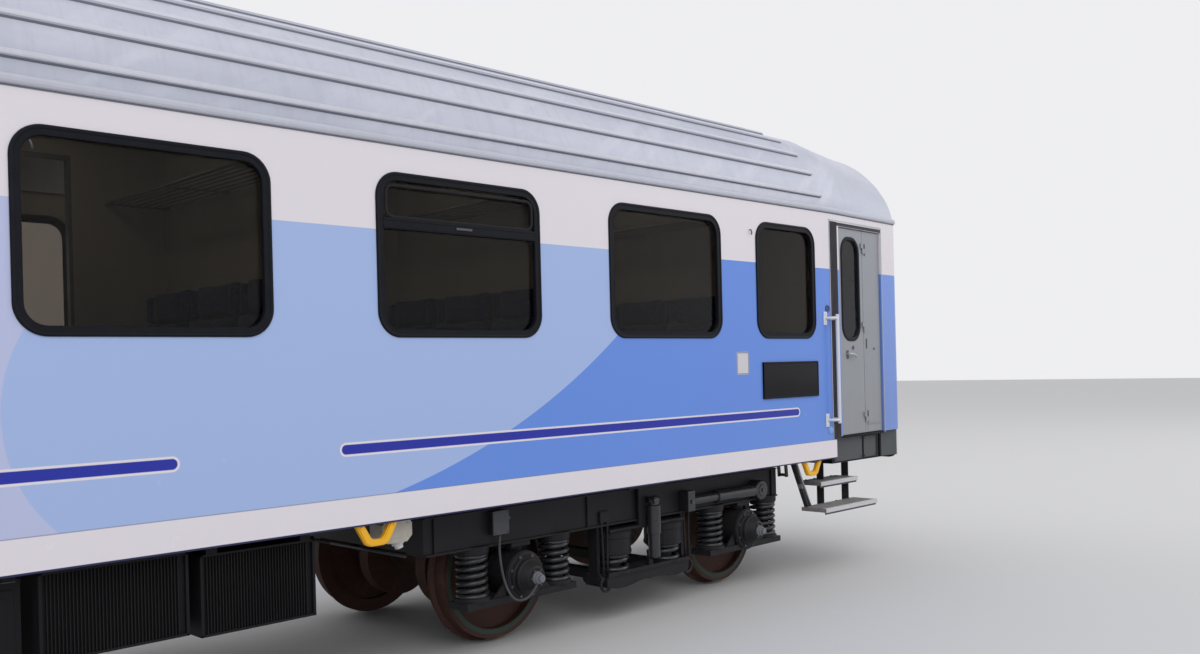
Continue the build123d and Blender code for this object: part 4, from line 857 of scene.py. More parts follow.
def add_row(shape, group, count, start, step, size, turn=(0.0, 0.0, 0.0)):
    """Runs a row group once and adds what it makes to the shape"""
    holder = link_object("row", bpy.data.meshes.new("row"))
    run = holder.modifiers.new("row", "NODES")
    run.node_group = group
    values = dict(zip(ROW_INPUTS, (count, start, step, size, turn, MATERIALS["bolt_steel"])))
    for item in group.interface.items_tree:
        if item.name in values:
            run[item.identifier] = values[item.name]
    graph = bpy.context.evaluated_depsgraph_get()
    made = bpy.data.meshes.new_from_object(holder.evaluated_get(graph))
    shape.add([v.co for v in made.vertices], [p.vertices for p in made.polygons])
    bpy.data.objects.remove(holder)
    bpy.data.meshes.remove(made)


# Windows
WINDOW_LOW, WINDOW_HIGH = 2.040, 2.985
WINDOWS = [(k * 1.900 + 0.950, 1.255) for k in range(-5, 5)] + [(-10.060, 0.855), (10.060, 0.855)]
HOPPER_X = 6.650


def build_windows():
    """Outer lip, rolled bead and inner seal of each window; catches and a drip strip on the
    opening ones"""
    dark_strips, pulls, hoppers = Shape(), Shape(), Shape()
    cz, height = (WINDOW_LOW + WINDOW_HIGH) / 2, WINDOW_HIGH - WINDOW_LOW
    for x, width in WINDOWS:
        for bands in (
                ((-0.002, 0.004), (-0.003, 0.0085), (-0.010, 0.0105), (-0.018, 0.0085),
                 (-0.020, 0.0062)),
                ((-0.0445, 0.002), (-0.0455, 0.0060), (-0.0480, 0.0060), (-0.0495, 0.000),
                 (-0.050, -0.010))):
            dark_strips.frame(x, cz, width, height, 0.150, bands, 7)
        if abs(abs(x) - HOPPER_X) < 0.01:
            reach = width / 2 - 0.050
            for z in (2.665, 2.706):
                dark_strips.block((x - reach, -0.0085, z), (x + reach, -0.004, z + 0.010), 0.002)
            pulls.block((x - 0.060, -0.012, 2.683), (x + 0.060, -0.0062, 2.698), 0.002)
            hoppers.frame(x, 2.817, width - 0.125, 0.196, 0.055, (
                (0, 0.001), (0, 0.0055), (-0.008, 0.0070), (-0.016, 0.0055), (-0.018, 0)), 7)
            for u in (x - width / 2 + 0.105, x + width / 2 - 0.105):
                hoppers.block((u - 0.012, -0.0085, 2.060), (u + 0.012, -0.0045, 2.072), 0.001)
    for name, shape, material in (
            ("window_seals", dark_strips, "black_rubber"), ("window_pulls", pulls, "box_grey"),
            ("hopper_frames", hoppers, "hopper_grey")):
        follow_wall(shape)
        for side_name, side in SIDES:
            flipped(shape, y=side > 0).piece(
                f"{name}_{side_name}", material, "coach_body", "frame_rubber")


# Entrance doors; the outer face of the leaves lies LEAF_Y behind the wall
DOOR_LEFT, DOOR_RIGHT, DOOR_FOLD = 10.890, 11.700, 11.362
DOOR_LOW, DOOR_HIGH, LEAF_Y = 1.180, 3.035, 0.018


def build_doors():
    """Frame line, rubber guards, seals, locks, handles and hinge plates of the folding doors"""
    # The last block is the sill strip of the landing
    at_doors("door_frame_line", Shape().blocks(
        ((10.722, -0.004, 1.167), (10.731, 0.0, 3.084)),
        ((10.722, -0.004, 3.076), (11.716, 0.0, 3.085)),
        ((11.707, -0.004, 1.167), (11.716, 0.0, 3.084)),
        ((DOOR_LEFT + 0.012, 0.052, DOOR_LOW + 0.0005),
         (DOOR_RIGHT - 0.012, 0.0615, DOOR_LOW + 0.004))), "rail_bright", "door_grey")
    guards = Shape().blocks(
        ((10.736, -0.0045, 1.162), (10.856, 0.0, 3.070), 0.002),
        ((10.862, -0.0035, DOOR_HIGH + 0.003), (11.702, 0.0, DOOR_HIGH + 0.030), 0.0015),
        ((10.858, -0.0062, DOOR_HIGH + 0.022), (11.704, 0.0, DOOR_HIGH + 0.031), 0.002))
    for x in (10.748, 10.768, 10.788, 10.808, 10.828, 10.846):
        guards.block((x - 0.0035, -0.0075, 1.166), (x + 0.0035, -0.004, 3.066), 0.001)
    at_doors("door_guards", guards, "guard_rubber", "gangway_rubber")
    # Leaf with the window
    seal, lock, grip = Shape(), Shape(), Shape()
    seal.frame(11.126, 2.490, 0.290, 0.880, 0.115, (
        (0.030, -0.019), (0.029, -0.013), (0.020, -0.009), (0.004, -0.010), (-0.004, -0.016),
        (-0.006, -0.026)))
    seal.block((DOOR_LEFT + 0.0065, LEAF_Y - 0.004, DOOR_LOW + 0.012),
               (DOOR_LEFT + 0.016, LEAF_Y, DOOR_HIGH - 0.012), 0.001)
    at_doors("leaf_seal", seal, "black_rubber", "frame_rubber", "window")
    lock.lathe((11.152, LEAF_Y, 1.962), OUT, ((0, 0.020), (0.0035, 0.019), (0.004, 0.010)), 20)
    lock.block((11.024, LEAF_Y - 0.003, 1.862), (11.062, LEAF_Y, 1.938), 0.002)
    at_doors("leaf_lock", lock, "box_grey", "door_grey", "window")
    grip.rods([(11.043, LEAF_Y - 0.002, 1.905)], OUT, 0.026, 0.013, 16)
    grip.tube(smooth_path([
        (11.036, -0.010, 1.906), (11.075, -0.012, 1.907), (11.120, -0.012, 1.901),
        (11.155, -0.011, 1.887), (11.166, -0.009, 1.875)], 5), 0.0085)
    at_doors("leaf_grip", grip, "rail_bright", "white_rail", "window")
    # Leaf on the post: plates beside the hinge flaps, which meet when the leaves fold
    plates = Shape()
    for z, high in ((2.860, 0.055), (2.000, 0.045), (1.330, 0.055)):
        x = DOOR_FOLD + 0.051
        plates.block((x - 0.010, LEAF_Y - 0.003, z - high), (x + 0.010, LEAF_Y, z + high), 0.001)
        screws = [(x, LEAF_Y - 0.0025, z + k * high) for k in (-0.6, 0.0, 0.6)]
        plates.rods(screws, OUT, 0.003, 0.004)
    plates.rods([(11.560, LEAF_Y, 1.952)], OUT, 0.006, 0.010, 12)
    at_doors("post_plates", plates, "box_grey", "door_grey", "post")
    low, high = DOOR_LOW + 0.014, DOOR_LOW + 0.085
    at_doors("post_kick_plate", Shape().blocks(
        ((DOOR_FOLD + 0.040, LEAF_Y - 0.002, low), (DOOR_RIGHT - 0.035, LEAF_Y, high), 0.001),
        ((DOOR_FOLD + 0.040, LEAF_Y - 0.008, high - 0.007),
         (DOOR_RIGHT - 0.035, LEAF_Y - 0.001, high), 0.001)), "door_grey", "door_grey", "post")
    at_doors("window_kick_plate", Shape().blocks(
        ((DOOR_LEFT + 0.030, LEAF_Y - 0.002, low), (DOOR_FOLD - 0.030, LEAF_Y, high), 0.001)),
        "door_grey", "door_grey", "window")


def build_side_fittings():
    """Handrails, cups, panel trim and blank plate on the sides"""
    rails, dark, pale = Shape(), Shape(), Shape()
    for z in (2.219, 1.336):
        rails.block((10.606, -0.007, z - 0.060), (10.656, 0.0, z + 0.055), 0.003)
        rails.rods([(10.631, -0.006, z + 0.036), (10.631, -0.006, z - 0.042)], OUT, 0.006, 0.010)
        rails.tube(smooth_path([
            (10.640, -0.004, z), (10.648, -0.036, z), (10.668, -0.058, z), (10.700, -0.0625, z),
            (10.728, -0.0625, z)], 4), 0.0115)
    for z, way in ((2.245, 1), (1.310, -1)):
        rails.lathe((10.728, -0.0625, z), (0, 0, way), (
            (0, 0.0158), (0.004, 0.0145), (0.007, 0.010), (0.008, 0.004)), 18)
    on_sides("handrail_brackets", rails, "white_rail", "white_rail")
    dark.lathe((10.672, 0.0, 2.302), OUT, (
        (0, 0.034), (0.004, 0.033), (0.006, 0.028), (0.005, 0.024), (0.002, 0.022)), 24)
    on_sides("upper_cup", dark, "cup_blue", "side_paint")
    pale.lathe((10.680, 0.0, 1.244), OUT, (
        (0, 0.036), (0.004, 0.035), (0.010, 0.028), (0.014, 0.018), (0.016, 0.007)), 24)
    on_sides("lower_cup", pale, "dome_blue", "side_paint")
    # Raised rim and glass face of the display panels
    rim, plate, border, hooks = Shape(), Shape(), Shape(), Shape()
    rim.frame(10.090, 1.701, 0.800, 0.298, 0.006, (
        (0, 0.002), (0, 0.0145), (-0.003, 0.0155), (-0.014, 0.0155), (-0.016, 0.0125)), 3)
    on_sides("panel_rims", rim, "black_rubber", "display_black")
    on_sides("panel_faces", Shape().blocks(((9.706, -0.0130, 1.568), (10.474, -0.0122, 1.834))),
             "panel_gloss", "display_black")
    plate.sheet(rounded_outline(9.428, 1.845, 0.158, 0.178, 0.012, 4), -0.0018, 0.0)
    on_sides("blank_plate", plate, "plate_white", "side_paint")
    border.frame(9.428, 1.845, 0.150, 0.170, 0.009, (
        (0, 0.0017), (0, 0.0022), (-0.005, 0.0022), (-0.005, 0.0017)), 4)
    on_sides("blank_plate_border", border, "box_grey", "side_paint")
    # Small lamp hooks below the gutter
    for x in (4.210, 9.560):
        hooks.tube([(x, 0.0, 2.905), (x, -0.014, 2.905), (x + 0.006, -0.018, 2.885),
                    (x + 0.010, -0.012, 2.868)], 0.005, 8)
    on_sides("lamp_hooks", hooks, "box_grey", "side_paint")


# Steps, brackets and boxes under the body. Treads: start, end, front, back and top
TREADS = ((10.600, 11.460, 1.400, 1.150, 0.565), (10.780, 11.400, 1.240, 1.000, 0.770))
# Boxes: start, end, side, outer face, bottom (their top is BOX_TOP)
BOX_TOP = 0.960
BOXES = (
    (2.450, 4.170, -1, 1.270, 0.470), (-0.600, 1.500, -1, 1.270, 0.480),
    (-3.700, -1.700, -1, 1.280, 0.520), (-5.640, -4.230, -1, 1.300, 0.540),
    (4.230, 5.640, 1, 1.300, 0.540), (1.300, 3.300, 1, 1.270, 0.480),
    (-2.300, 0.300, 1, 1.270, 0.470), (-5.640, -3.300, 1, 1.300, 0.540))
FINNED = ((4.230, 4.930, 0.565, 0.978), (4.990, 5.640, 0.537, 0.951))
# Inner and outer edge of half a lifting loop
HALF_LOOPS = (
    ((-0.084, 0.9945), (-0.050, 0.935), (-0.044, 0.924), (-0.034, 0.915), (-0.020, 0.911),
     (0.0, 0.910)),
    ((-0.139, 0.9945), (-0.088, 0.905), (-0.078, 0.889), (-0.062, 0.878), (-0.040, 0.873),
     (0.0, 0.872)))


def build_steps():
    """Raised lines and pale noses on the treads, hanger bolts, covers of the step boxes"""
    noses, lines, bolts, brace = Shape(), Shape(), Shape(), Shape()
    covers = Shape().blocks(
        ((10.925, -1.2955, 0.945), (11.395, -1.2905, 1.150), 0.003),
        ((11.430, -1.2960, 0.950), (11.640, -1.2905, 1.145), 0.003))
    for start, end, front, back, top in TREADS:
        a, b = start - 0.002, end + 0.002
        noses.blocks(
            ((a, -front - 0.003, top - 0.033), (b, -front + 0.001, top + 0.002), 0.0015),
            ((a, -front - 0.002, top), (b, -front + 0.026, top + 0.003), 0.001))
        count = int((front - back - 0.06) / 0.021)
        add_row(lines, block_row, count, ((start + end) / 2, -front + 0.045, top + 0.0015),
                (0.0, 0.021, 0.0), (end - start - 0.03, 0.008, 0.003))
        add_row(bolts, bolt_row, 4, (start + 0.10, -back - 0.018, top + 0.003),
                ((end - start - 0.20) / 3, 0.0, 0.0), (0.018, 0.018, 0.008))
        # Folded edge under the tread
        covers.block((start + 0.004, -front + 0.010, top - 0.050),
                     (end - 0.004, -front + 0.016, top - 0.0325))
    for corners in (product((10.945, 11.375), (-1.295,), (0.962, 1.132)),
                    product((11.445, 11.625), (-1.295,), (0.965, 1.130))):
        bolts.rods(corners, OUT, 0.007, 0.008)
    bolts.rods(product((10.959, 11.379), (-1.115,), (0.900, 0.600)), ALONG, 0.022, 0.011)
    on_body("tread_noses", noses, "nose_white", "step_metal")
    on_body("tread_lines", lines, "step_metal", "step_metal")
    on_body("step_bolts", bolts, "bolt_steel", "draw_steel")
    on_body("step_covers", covers, "box_grey", "dark_steel")
    brace.tube([(10.425, -1.212, 0.990), (10.655, -1.212, 0.575)], 0.0065, 8)
    on_body("brace_bar", brace, "rail_bright", "step_metal")
    # Corner boxes of the end beam
    on_body("corner_box_sides", Shape().blocks(
        ((11.752, -1.2925, 0.935), (12.047, -1.2885, 1.176), 0.002)), "corner_teal", "dark_steel")
    on_body("corner_box_edges", Shape().blocks(
        ((12.040, -1.2945, 0.932), (12.052, -1.2700, 1.178), 0.002)), "rail_bright", "dark_steel")


def build_lifting_brackets():
    """Forged loops below the skirt: a broad core with a thinner, deeper band on it"""
    shape, bolts = Shape(), Shape()
    top = HALF_LOOPS[0][0][1]
    for x in (5.993, 10.413):
        loop = [[(x + u, v) for u, v in half + tuple((-u, v) for u, v in half[-2::-1])]
                for half in HALF_LOOPS]
        middle = [((u + m) / 2, (v + n) / 2) for (u, v), (m, n) in zip(*loop)]
        thin = [[(c + (u - c) * 0.66, min(top, d + (v - d) * 0.66))
                 for (u, v), (c, d) in zip(line, middle)] for line in loop]
        for lines, low, high in ((loop, -1.3950, -1.3700), (thin, -1.4015, -1.3635)):
            shape.loft([[(u, low, v), (m, low, n), (m, high, n), (u, high, v)]
                        for (u, v), (m, n) in zip(*lines)])
        bolts.rods([(x - 0.108, -1.400, 0.984), (x + 0.108, -1.400, 0.984)], OUT, 0.0075, 0.007)
    made = on_body("lifting_loops", shape, "yellow_paint", "yellow_paint")
    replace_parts(made, "lifting_brackets")
    on_body("lifting_bolts", bolts, "yellow_paint", "yellow_paint")


def build_socket_boxes():
    x, gland = 6.182, Shape()
    lid = Shape().blocks(
        ((x - 0.088, -1.3245, 0.885), (x + 0.082, -1.3205, 0.975), 0.003),
        ((x - 0.095, -1.3270, 0.974), (x + 0.090, -1.3190, 0.981), 0.002))
    lid.rods(product((x - 0.075, x + 0.07), (-1.324,), (0.895, 0.965)), OUT, 0.004, 0.006, 8)
    on_body("socket_lids", lid, "beige_plastic", "beige_plastic")
    gland.lathe((x + 0.035, -1.262, 0.8585), (0.25, -0.15, -1.0), (
        (0, 0.036), (0.010, 0.038), (0.022, 0.036), (0.026, 0.026), (0.044, 0.025),
        (0.048, 0.015)), 22)
    on_body("socket_glands", gland, "nose_white", "beige_plastic")


def build_underfloor():
    """Cooling fins, lids, hinges, latches and ribs of the boxes, bands of the air tanks, pipes"""
    fins, frames, vents = Shape(), Shape(), Shape()
    for start, end, low, high in FINNED:
        add_row(fins, block_row, int((end - start - 0.06) / 0.0165),
                (start + 0.036, -1.3075, (low + high) / 2), (0.0165, 0.0, 0.0),
                (0.0035, 0.017, high - low - 0.026))
        for z in (low, high - 0.012):
            frames.block((start, -1.3185, z), (end, -1.2995, z + 0.012), 0.002)
        for x in (start, end - 0.016):
            frames.block((x, -1.3185, low), (x + 0.016, -1.2995, high), 0.002)
    lids, hinges, latches = Shape(), Shape(), Shape()
    for start, end, side, outer, low in BOXES:
        doors = max(1, round((end - start) / 0.75))
        width = (end - start - 0.04) / doors
        face = side * outer
        for a in (start + 0.02 + k * width for k in range(doors)):
            for inset, near, far in ((0.010, 0.0, 0.006), (0.045, 0.005, 0.010)):
                lids.block((a + inset, face + side * near, low + inset + 0.020),
                           (a + width - inset, face + side * far, BOX_TOP - inset - 0.035), 0.004)
            for u in (a + 0.16, a + width - 0.16):
                hinges.rods([(u - 0.040, face + side * 0.010, BOX_TOP - 0.040)], ALONG, 0.080,
                            0.0075, 10)
                latches.block((u - 0.022, face + side * 0.005, low + 0.036),
                              (u + 0.022, face + side * 0.014, low + 0.060), 0.003)
                latches.rods([(u, face + side * 0.012, low + 0.048)], OUT, side * -0.008, 0.007, 8)
        # Hanging straps up to the frame
        for u in (start + 0.05, end - 0.05):
            hinges.block((u - 0.030, face - side * 0.001, BOX_TOP - 0.012),
                         (u + 0.030, face + side * 0.006, BOX_TOP + 0.030), 0.002)
    # Plain vents in every second lid
    for start, end, side, outer, low in BOXES[1::2]:
        add_row(vents, block_row, 9, (start + 0.40, side * (outer + 0.0105), low + 0.15),
                (0.0, 0.0, 0.022), (0.24, 0.006, 0.010), (0.5 * side, 0.0, 0.0))
    # Air tanks: bands, weld beads and drain cocks
    bands, pipes = Shape(), Shape()
    for start in (1.725, -2.075, -5.875):
        for u in (0.20, 1.06):
            bands.lathe((start + u, 0.0, 0.760), ALONG, (
                (0, 0.1895), (0, 0.1945), (0.04, 0.1945), (0.04, 0.1895)), 40, closed=True)
        for u in (0.055, 1.235, 0.645):
            bands.lathe((start + u, 0.0, 0.760), ALONG, (
                (0, 0.1895), (0.003, 0.1930), (0.007, 0.1930), (0.010, 0.1895)), 40, closed=True)
        bands.rods([(start + 0.65, 0.0, 0.575)], UP, -0.040, 0.016, 10)
        bands.rods([(start + 0.65, 0.0, 0.550)], ALONG, 0.055, 0.007, 8)
    # Air pipes along the middle of the frame, and the straps under them
    for y, z, radius in ((-0.300, 0.955, 0.017), (0.260, 0.950, 0.014), (0.330, 0.950, 0.014)):
        pipes.tube([(-6.3, y, z), (6.3, y, z)], radius)
    for x in (k * 0.95 + 0.46 for k in range(-6, 7)):
        pipes.block((x, -0.330, 0.930), (x + 0.03, 0.360, 0.938), 0.001)
    for name, shape, material in (
            ("cooling_fins", fins, "fin_black"), ("fin_frames", frames, "dark_steel"),
            ("box_vents", vents, "dark_steel"), ("box_lids", lids, "dark_steel"),
            ("box_hinges", hinges, "box_grey"), ("tank_bands", bands, "dark_steel"),
            ("frame_pipes", pipes, "dark_steel")):
        shape.piece(name, material, "coach_body", "dark_steel")
    latches.piece("box_latches", "bolt_steel", "coach_body", "draw_steel")


def build_wheels():
    """Tyre groove, painted ring, web bolts and ribs of the brake discs"""
    rings, bolts, discs, paint = Shape(), Shape(), Shape(), Shape()
    for side in (-1, 1):
        rings.lathe((0, side * 0.811, AXLE_Z), (0, side, 0), (
            (0, 0.4480), (0.0055, 0.4480), (0.0055, 0.4360), (0, 0.4350)), 56, closed=True)
        rings.lathe((0, side * 0.760, AXLE_Z), (0, side, 0), (
            (0, 0.150), (0.030, 0.148), (0.046, 0.140), (0.048, 0.118)))
        paint.lathe((0, side * 0.812, AXLE_Z), (0, side, 0), (
            (0, 0.4330), (0.0042, 0.4330), (0.0042, 0.4010), (0, 0.4000)), 56, closed=True)
        bolts.rods(axle_circle(0, side * 0.7595, 0.205, 12), OUT, side * -0.0105, 0.011)
        for angle, (y, low, high) in product(
                turns(24), ((0.295, -0.004, 0.0), (0.405, 0.0, 0.004))):
            turn = Matrix.Rotation(angle, 3, "Y")
            corners = product((0.170, 0.290), (low, high), (-0.004, 0.004))
            centre = Vector((0, side * y, AXLE_Z))
            discs.add([turn @ Vector(p) + centre for p in corners], CUBE_FACES)
        for y, way in ((0.2945, -side), (0.4055, side)):
            discs.lathe((0, side * y, AXLE_Z), (0, way, 0), (
                (0, 0.110), (0.030, 0.105), (0.034, 0.084)), 28)
    for (end_name, end), (place, way) in product(ENDS, (("inner", -1), ("outer", 1))):
        body = f"wheelset_{end_name}_{place}"
        for name, shape, material, slot in (
                ("rings", rings, "wheel_steel", "wheel_steel"),
                ("painted_rings", paint, "ring_green", "wheel_steel"),
                ("bolts", bolts, "bolt_steel", "wheel_steel"),
                ("disc_ribs", discs, "brake_iron", "brake_iron")):
            made = flipped(shape, shift=end * (PIVOT + way * AXLE))
            made.piece(f"{body}_{name}", material, body, slot)


# Gutter and roof seams
CORNER_Y, CORNER_Z, CORNER_RADIUS = 0.585, 3.139, 0.800
# Angle of each seam from the vertical, where it ends
SEAMS = ((79.0, 10.650), (64.5, 10.600), (50.0, 10.550), (35.5, 10.520), (21.0, 10.500))
# Profiles: distance out from the wall, height
GUTTER_PROFILE = (
    (-0.030, 3.176), (-0.022, 3.190), (-0.012, 3.1935), (0.002, 3.191), (0.012, 3.184),
    (0.0175, 3.172), (0.0185, 3.158), (0.015, 3.147), (0.008, 3.1425), (-0.002, 3.1415),
    (-0.028, 3.1425))
# The dark strip under the gutter lip: a joint, with painted shade under the lip
JOINT_AND_SHADE_PROFILE = ((-0.020, 3.1335), (0.0022, 3.1335), (0.0022, 3.1415), (-0.020, 3.1415))


def build_gutters():
    """A half-round gutter lip over the side walls, carried round the end corners, and a dark strip
    below it: a joint with painted shade under the lip"""
    turn_x, turn_radius = 11.955, 0.119
    turn_y = -wall_y(turn_x)
    stations = [(0.0, -HALF_WIDTH, 0.0, -1.0), (TAPER_START, -HALF_WIDTH, 0.0, -1.0),
                (turn_x, turn_y, 0.06, -1.0)]
    for a in (radians(3.0 + 11.0 * k) for k in range(1, 6)):
        stations.append((turn_x + turn_radius * sin(a), turn_y + turn_radius * (1 - cos(a)),
                         sin(a), -cos(a)))
    for name, profile, material in (("gutters", GUTTER_PROFILE, "gutter_grey"),
                                    ("gutter_joints_and_shade", JOINT_AND_SHADE_PROFILE, "joint_and_shade_grey")):
        shape = Shape()
        shape.loft([[(x + nx * out, y + ny * out, z) for out, z in profile]
                    for x, y, nx, ny in stations])
        on_body(name, shape, material, "roof_paint")


def build_roof_seams():
    """Rounded caps over the ribs, with flattened ends, paler than the roof as a painted highlight,
    and dark strips of painted shade below them
    """
    caps, dark_strips = Shape(), Shape()
    for angle, end in SEAMS:
        s, c = sin(radians(angle)), cos(radians(angle))
        across, out = Vector((0, -c, -s)), Vector((0, -s, c))
        base = Vector((0, -CORNER_Y, CORNER_Z)) + out * (CORNER_RADIUS - 0.002)
        for shape, profile, stations in (
                (caps, ((-0.0195, 0.0), (-0.0190, 0.012), (-0.0155, 0.0205), (-0.008, 0.0235),
                        (0.008, 0.0235), (0.0150, 0.0215), (0.0188, 0.015), (0.0195, 0.0)),
                 ((0.0, 1.0, 1.0), (end, 1.0, 1.0), (end + 0.022, 0.85, 0.85),
                  (end + 0.040, 0.55, 0.45), (end + 0.048, 0.25, 0.05))),
                (dark_strips, ((0.0185, 0.0), (0.0280, 0.0), (0.0235, 0.008), (0.0185, 0.0115)),
                 ((0.0, 1.0, 1.0), (end + 0.010, 1.0, 1.0)))):
            shape.loft([
                [Vector((x, 0, 0)) + base + across * u * wide + out * v * high
                 for u, v in profile] for x, wide, high in stations])
    # The caps are paler than the roof as a painted highlight, and the dark strips below them are
    # painted shade
    on_body("seam_caps", caps, "seam_highlight", "roof_paint")
    on_body("seam_shade_strips", dark_strips, "joint_and_shade_grey", "roof_paint")


# Inside
FLOOR_Z, CEILING_Z, BAY = 1.250, 3.400, 1.900
# Benches, drawn against a wall at x = 0
BENCH_START, SEAT_WIDTH = -1.345, 0.632
BENCH_END = BENCH_START + 3 * SEAT_WIDTH


def pad(shape, low, high, axis, puff, edge=0.028):
    """A soft block, rounded at its edges and swollen on its upper face along an axis"""
    middle = (Vector(low) + Vector(high)) / 2
    size = Vector(high) - Vector(low)
    bm = rounded_cube(low, high, edge, share=0.42, profile=0.6)
    bmesh.ops.subdivide_edges(
        bm, edges=[e for e in bm.edges if e.calc_length() > 0.15], cuts=4, use_grid_fill=True)
    for v in bm.verts:
        if v.co[axis] > middle[axis]:
            fall = 1.0
            for i in {0, 1, 2} - {axis}:
                fall *= max(0.0, 1 - ((v.co[i] - middle[i]) / (size[i] / 2)) ** 2)
            v.co[axis] += puff * fall ** 0.6
    shape.take(bm, smooth=True)


def swell(shape, cap=0.014):
    """Blows the pads up a little as stuffed cloth, no point further than the cap"""
    data = bpy.data.meshes.new("stuffing")
    data.from_pydata(shape.points, [], shape.faces)
    holder = link_object("stuffing", data)
    settings = holder.modifiers.new("stuffing", "CLOTH").settings
    settings.quality = 5
    settings.use_pressure = True
    settings.uniform_pressure_force = 4.0
    settings.effector_weights.gravity = 0.0
    for frame_number in range(1, 15):
        bpy.context.scene.frame_set(frame_number)
    blown = holder.evaluated_get(bpy.context.evaluated_depsgraph_get()).to_mesh()
    moves = [v.co - p for p, v in zip(shape.points, blown.vertices)]
    shape.points = [p + move * min(1.0, cap / max(move.length, 1e-6))
                    for p, move in zip(shape.points, moves)]
    bpy.context.scene.frame_set(1)
    bpy.data.objects.remove(holder)
    bpy.data.meshes.remove(data)


def at_benches(name, one, material, slot):
    """One piece of what is drawn for a bench, on both sides of each compartment"""
    made = Shape()
    for bay, way in product(range(-5, 6), (-1, 1)):
        if abs(bay + 0.5 * way) < 5:
            made.join(flipped(one, way < 0, shift=bay * BAY + way * 0.0203))
    return made.piece(name, material, "coach_body", slot)


def build_benches():
    cushions, arms, z = Shape(), Shape(), FLOOR_Z
    for k in range(3):
        a = BENCH_START + k * SEAT_WIDTH + 0.008
        b = a + SEAT_WIDTH - 0.016
        pad(cushions, (0.130, a, z + 0.345), (0.605, b, z + 0.455), 2, 0.012)
        pad(cushions, (0.050, a, z + 0.470), (0.150, b, z + 0.950), 0, 0.018)
        pad(cushions, (0.045, a + 0.07, z + 0.935), (0.120, b - 0.07, z + 1.145), 0, 0.012)
        for c in (a + 0.03, b - 0.09):
            pad(cushions, (0.090, c, z + 0.950), (0.150, c + 0.06, z + 1.120), 0, 0.006, 0.02)
    frames = Shape().blocks(
        ((0.002, BENCH_START, z + 0.001), (0.400, BENCH_END, z + 0.045), 0.004),
        ((0.002, BENCH_START, z + 0.280), (0.585, BENCH_END, z + 0.348), 0.006),
        ((0.002, BENCH_START, z + 0.348), (0.048, BENCH_END, z + 1.140), 0.006))
    for y in (BENCH_START + 0.06, BENCH_START + 1.5 * SEAT_WIDTH - 0.02, BENCH_END - 0.10):
        frames.block((0.020, y, z + 0.040), (0.380, y + 0.035, z + 0.285), 0.004)
    for k in range(4):
        y = min(max(BENCH_START + k * SEAT_WIDTH - 0.024, BENCH_START + 0.003), BENCH_END - 0.053)
        arms.blocks(((0.120, y, z + 0.612), (0.520, y + 0.048, z + 0.652), 0.014),
                    ((0.120, y + 0.012, z + 0.440), (0.150, y + 0.036, z + 0.620), 0.004))
    swell(cushions)
    seat = at_benches("bench_cushions", cushions, "seat_cloth", "seat_cloth")
    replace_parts(seat, "seats")
    at_benches("bench_frames", frames, "rack_metal", "rack_metal")
    at_benches("bench_arms", arms, "black_rubber", "frame_rubber")


def build_racks():
    """Tubular luggage racks on brackets"""
    rods, z = Shape(), FLOOR_Z + 1.715
    for x in (0.030, 0.090, 0.150, 0.210, 0.270, 0.325):
        rods.tube([(x, -1.296, z), (x, 0.556, z)], 0.0065, 6)
    rods.tube([(0.372, -1.296, z + 0.004), (0.372, 0.556, z + 0.004)], 0.0110, 8)
    for y in (-1.20, -0.37, 0.46):
        rods.blocks(((0.001, y - 0.012, z - 0.014), (0.376, y + 0.012, z - 0.006), 0.002),
                    ((0.001, y - 0.012, z - 0.014), (0.010, y + 0.012, z + 0.014), 0.002))
    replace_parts(at_benches("rack_tubes", rods, "rack_metal", "rack_metal"), "luggage_racks")


def build_rooms():
    """Tables, lamps, doorway frames, heater covers and handrails"""
    tables, lamps, frames, heaters, mats = Shape(), Shape(), Shape(), Shape(), Shape()
    z = FLOOR_Z
    for x in ((k + 0.5) * BAY for k in range(-5, 5)):
        tables.blocks(
            ((x - 0.220, -1.348, z + 0.700), (x + 0.220, -1.170, z + 0.722), 0.008),
            ((x - 0.012, -1.346, z + 0.560), (x + 0.012, -1.200, z + 0.702), 0.004))
        lamps.block((x - 0.075, -1.000, CEILING_Z - 0.038), (x + 0.075, 0.300, CEILING_Z - 0.001),
                    0.012)
        for u in (x - 0.330, x + 0.330):
            frames.block((u - 0.012, 0.556, z + 0.001), (u + 0.012, 0.6045, z + 1.990), 0.003)
        frames.blocks(
            ((x - 0.342, 0.556, z + 1.978), (x + 0.342, 0.6045, z + 2.006), 0.003),
            # Half-open sliding door beside the doorway, with its pull
            ((x + 0.350, 0.606, z + 0.020), (x + 0.930, 0.628, z + 1.960), 0.004),
            ((x + 0.372, 0.6275, z + 0.950), (x + 0.396, 0.6375, z + 1.150), 0.004))
        heaters.block((x - 0.900, 1.300, z + 0.030), (x + 0.900, 1.350, z + 0.240), 0.006)
        add_row(heaters, block_row, 40, (x - 0.85, 1.299, z + 0.135), (0.0435, 0.0, 0.0),
                (0.012, 0.004, 0.150))
    frames.tube([(-9.4, 1.312, z + 0.760), (9.4, 1.312, z + 0.760)], 0.0140)
    for x in (k * BAY for k in range(-5, 6)):
        frames.rods([(x, 1.312, z + 0.760)], OUT, -0.040, 0.009, 8)
        lamps.block((x * 0.98 - 0.40, 0.860, CEILING_Z - 0.030),
                    (x * 0.98 + 0.40, 0.980, CEILING_Z - 0.001), 0.010)
    # Ribbed mats in the vestibules
    for x in (-11.30, 11.30):
        add_row(mats, block_row, 34, (x, -0.86, z + 0.0015), (0.0, 0.052, 0.0),
                (0.66, 0.020, 0.003))
    mats.piece("vestibule_mats", "guard_rubber", "coach_body", "floor_cover")
    tables.piece("tables", "table_top", "coach_body", "lining")
    lamps.piece("ceiling_lamps", "lamp_white", "coach_body", "lining")
    frames.piece("inner_door_frames", "rack_metal", "coach_body", "rack_metal")
    heaters.piece("heater_covers", "heater_grey", "coach_body", "lining")


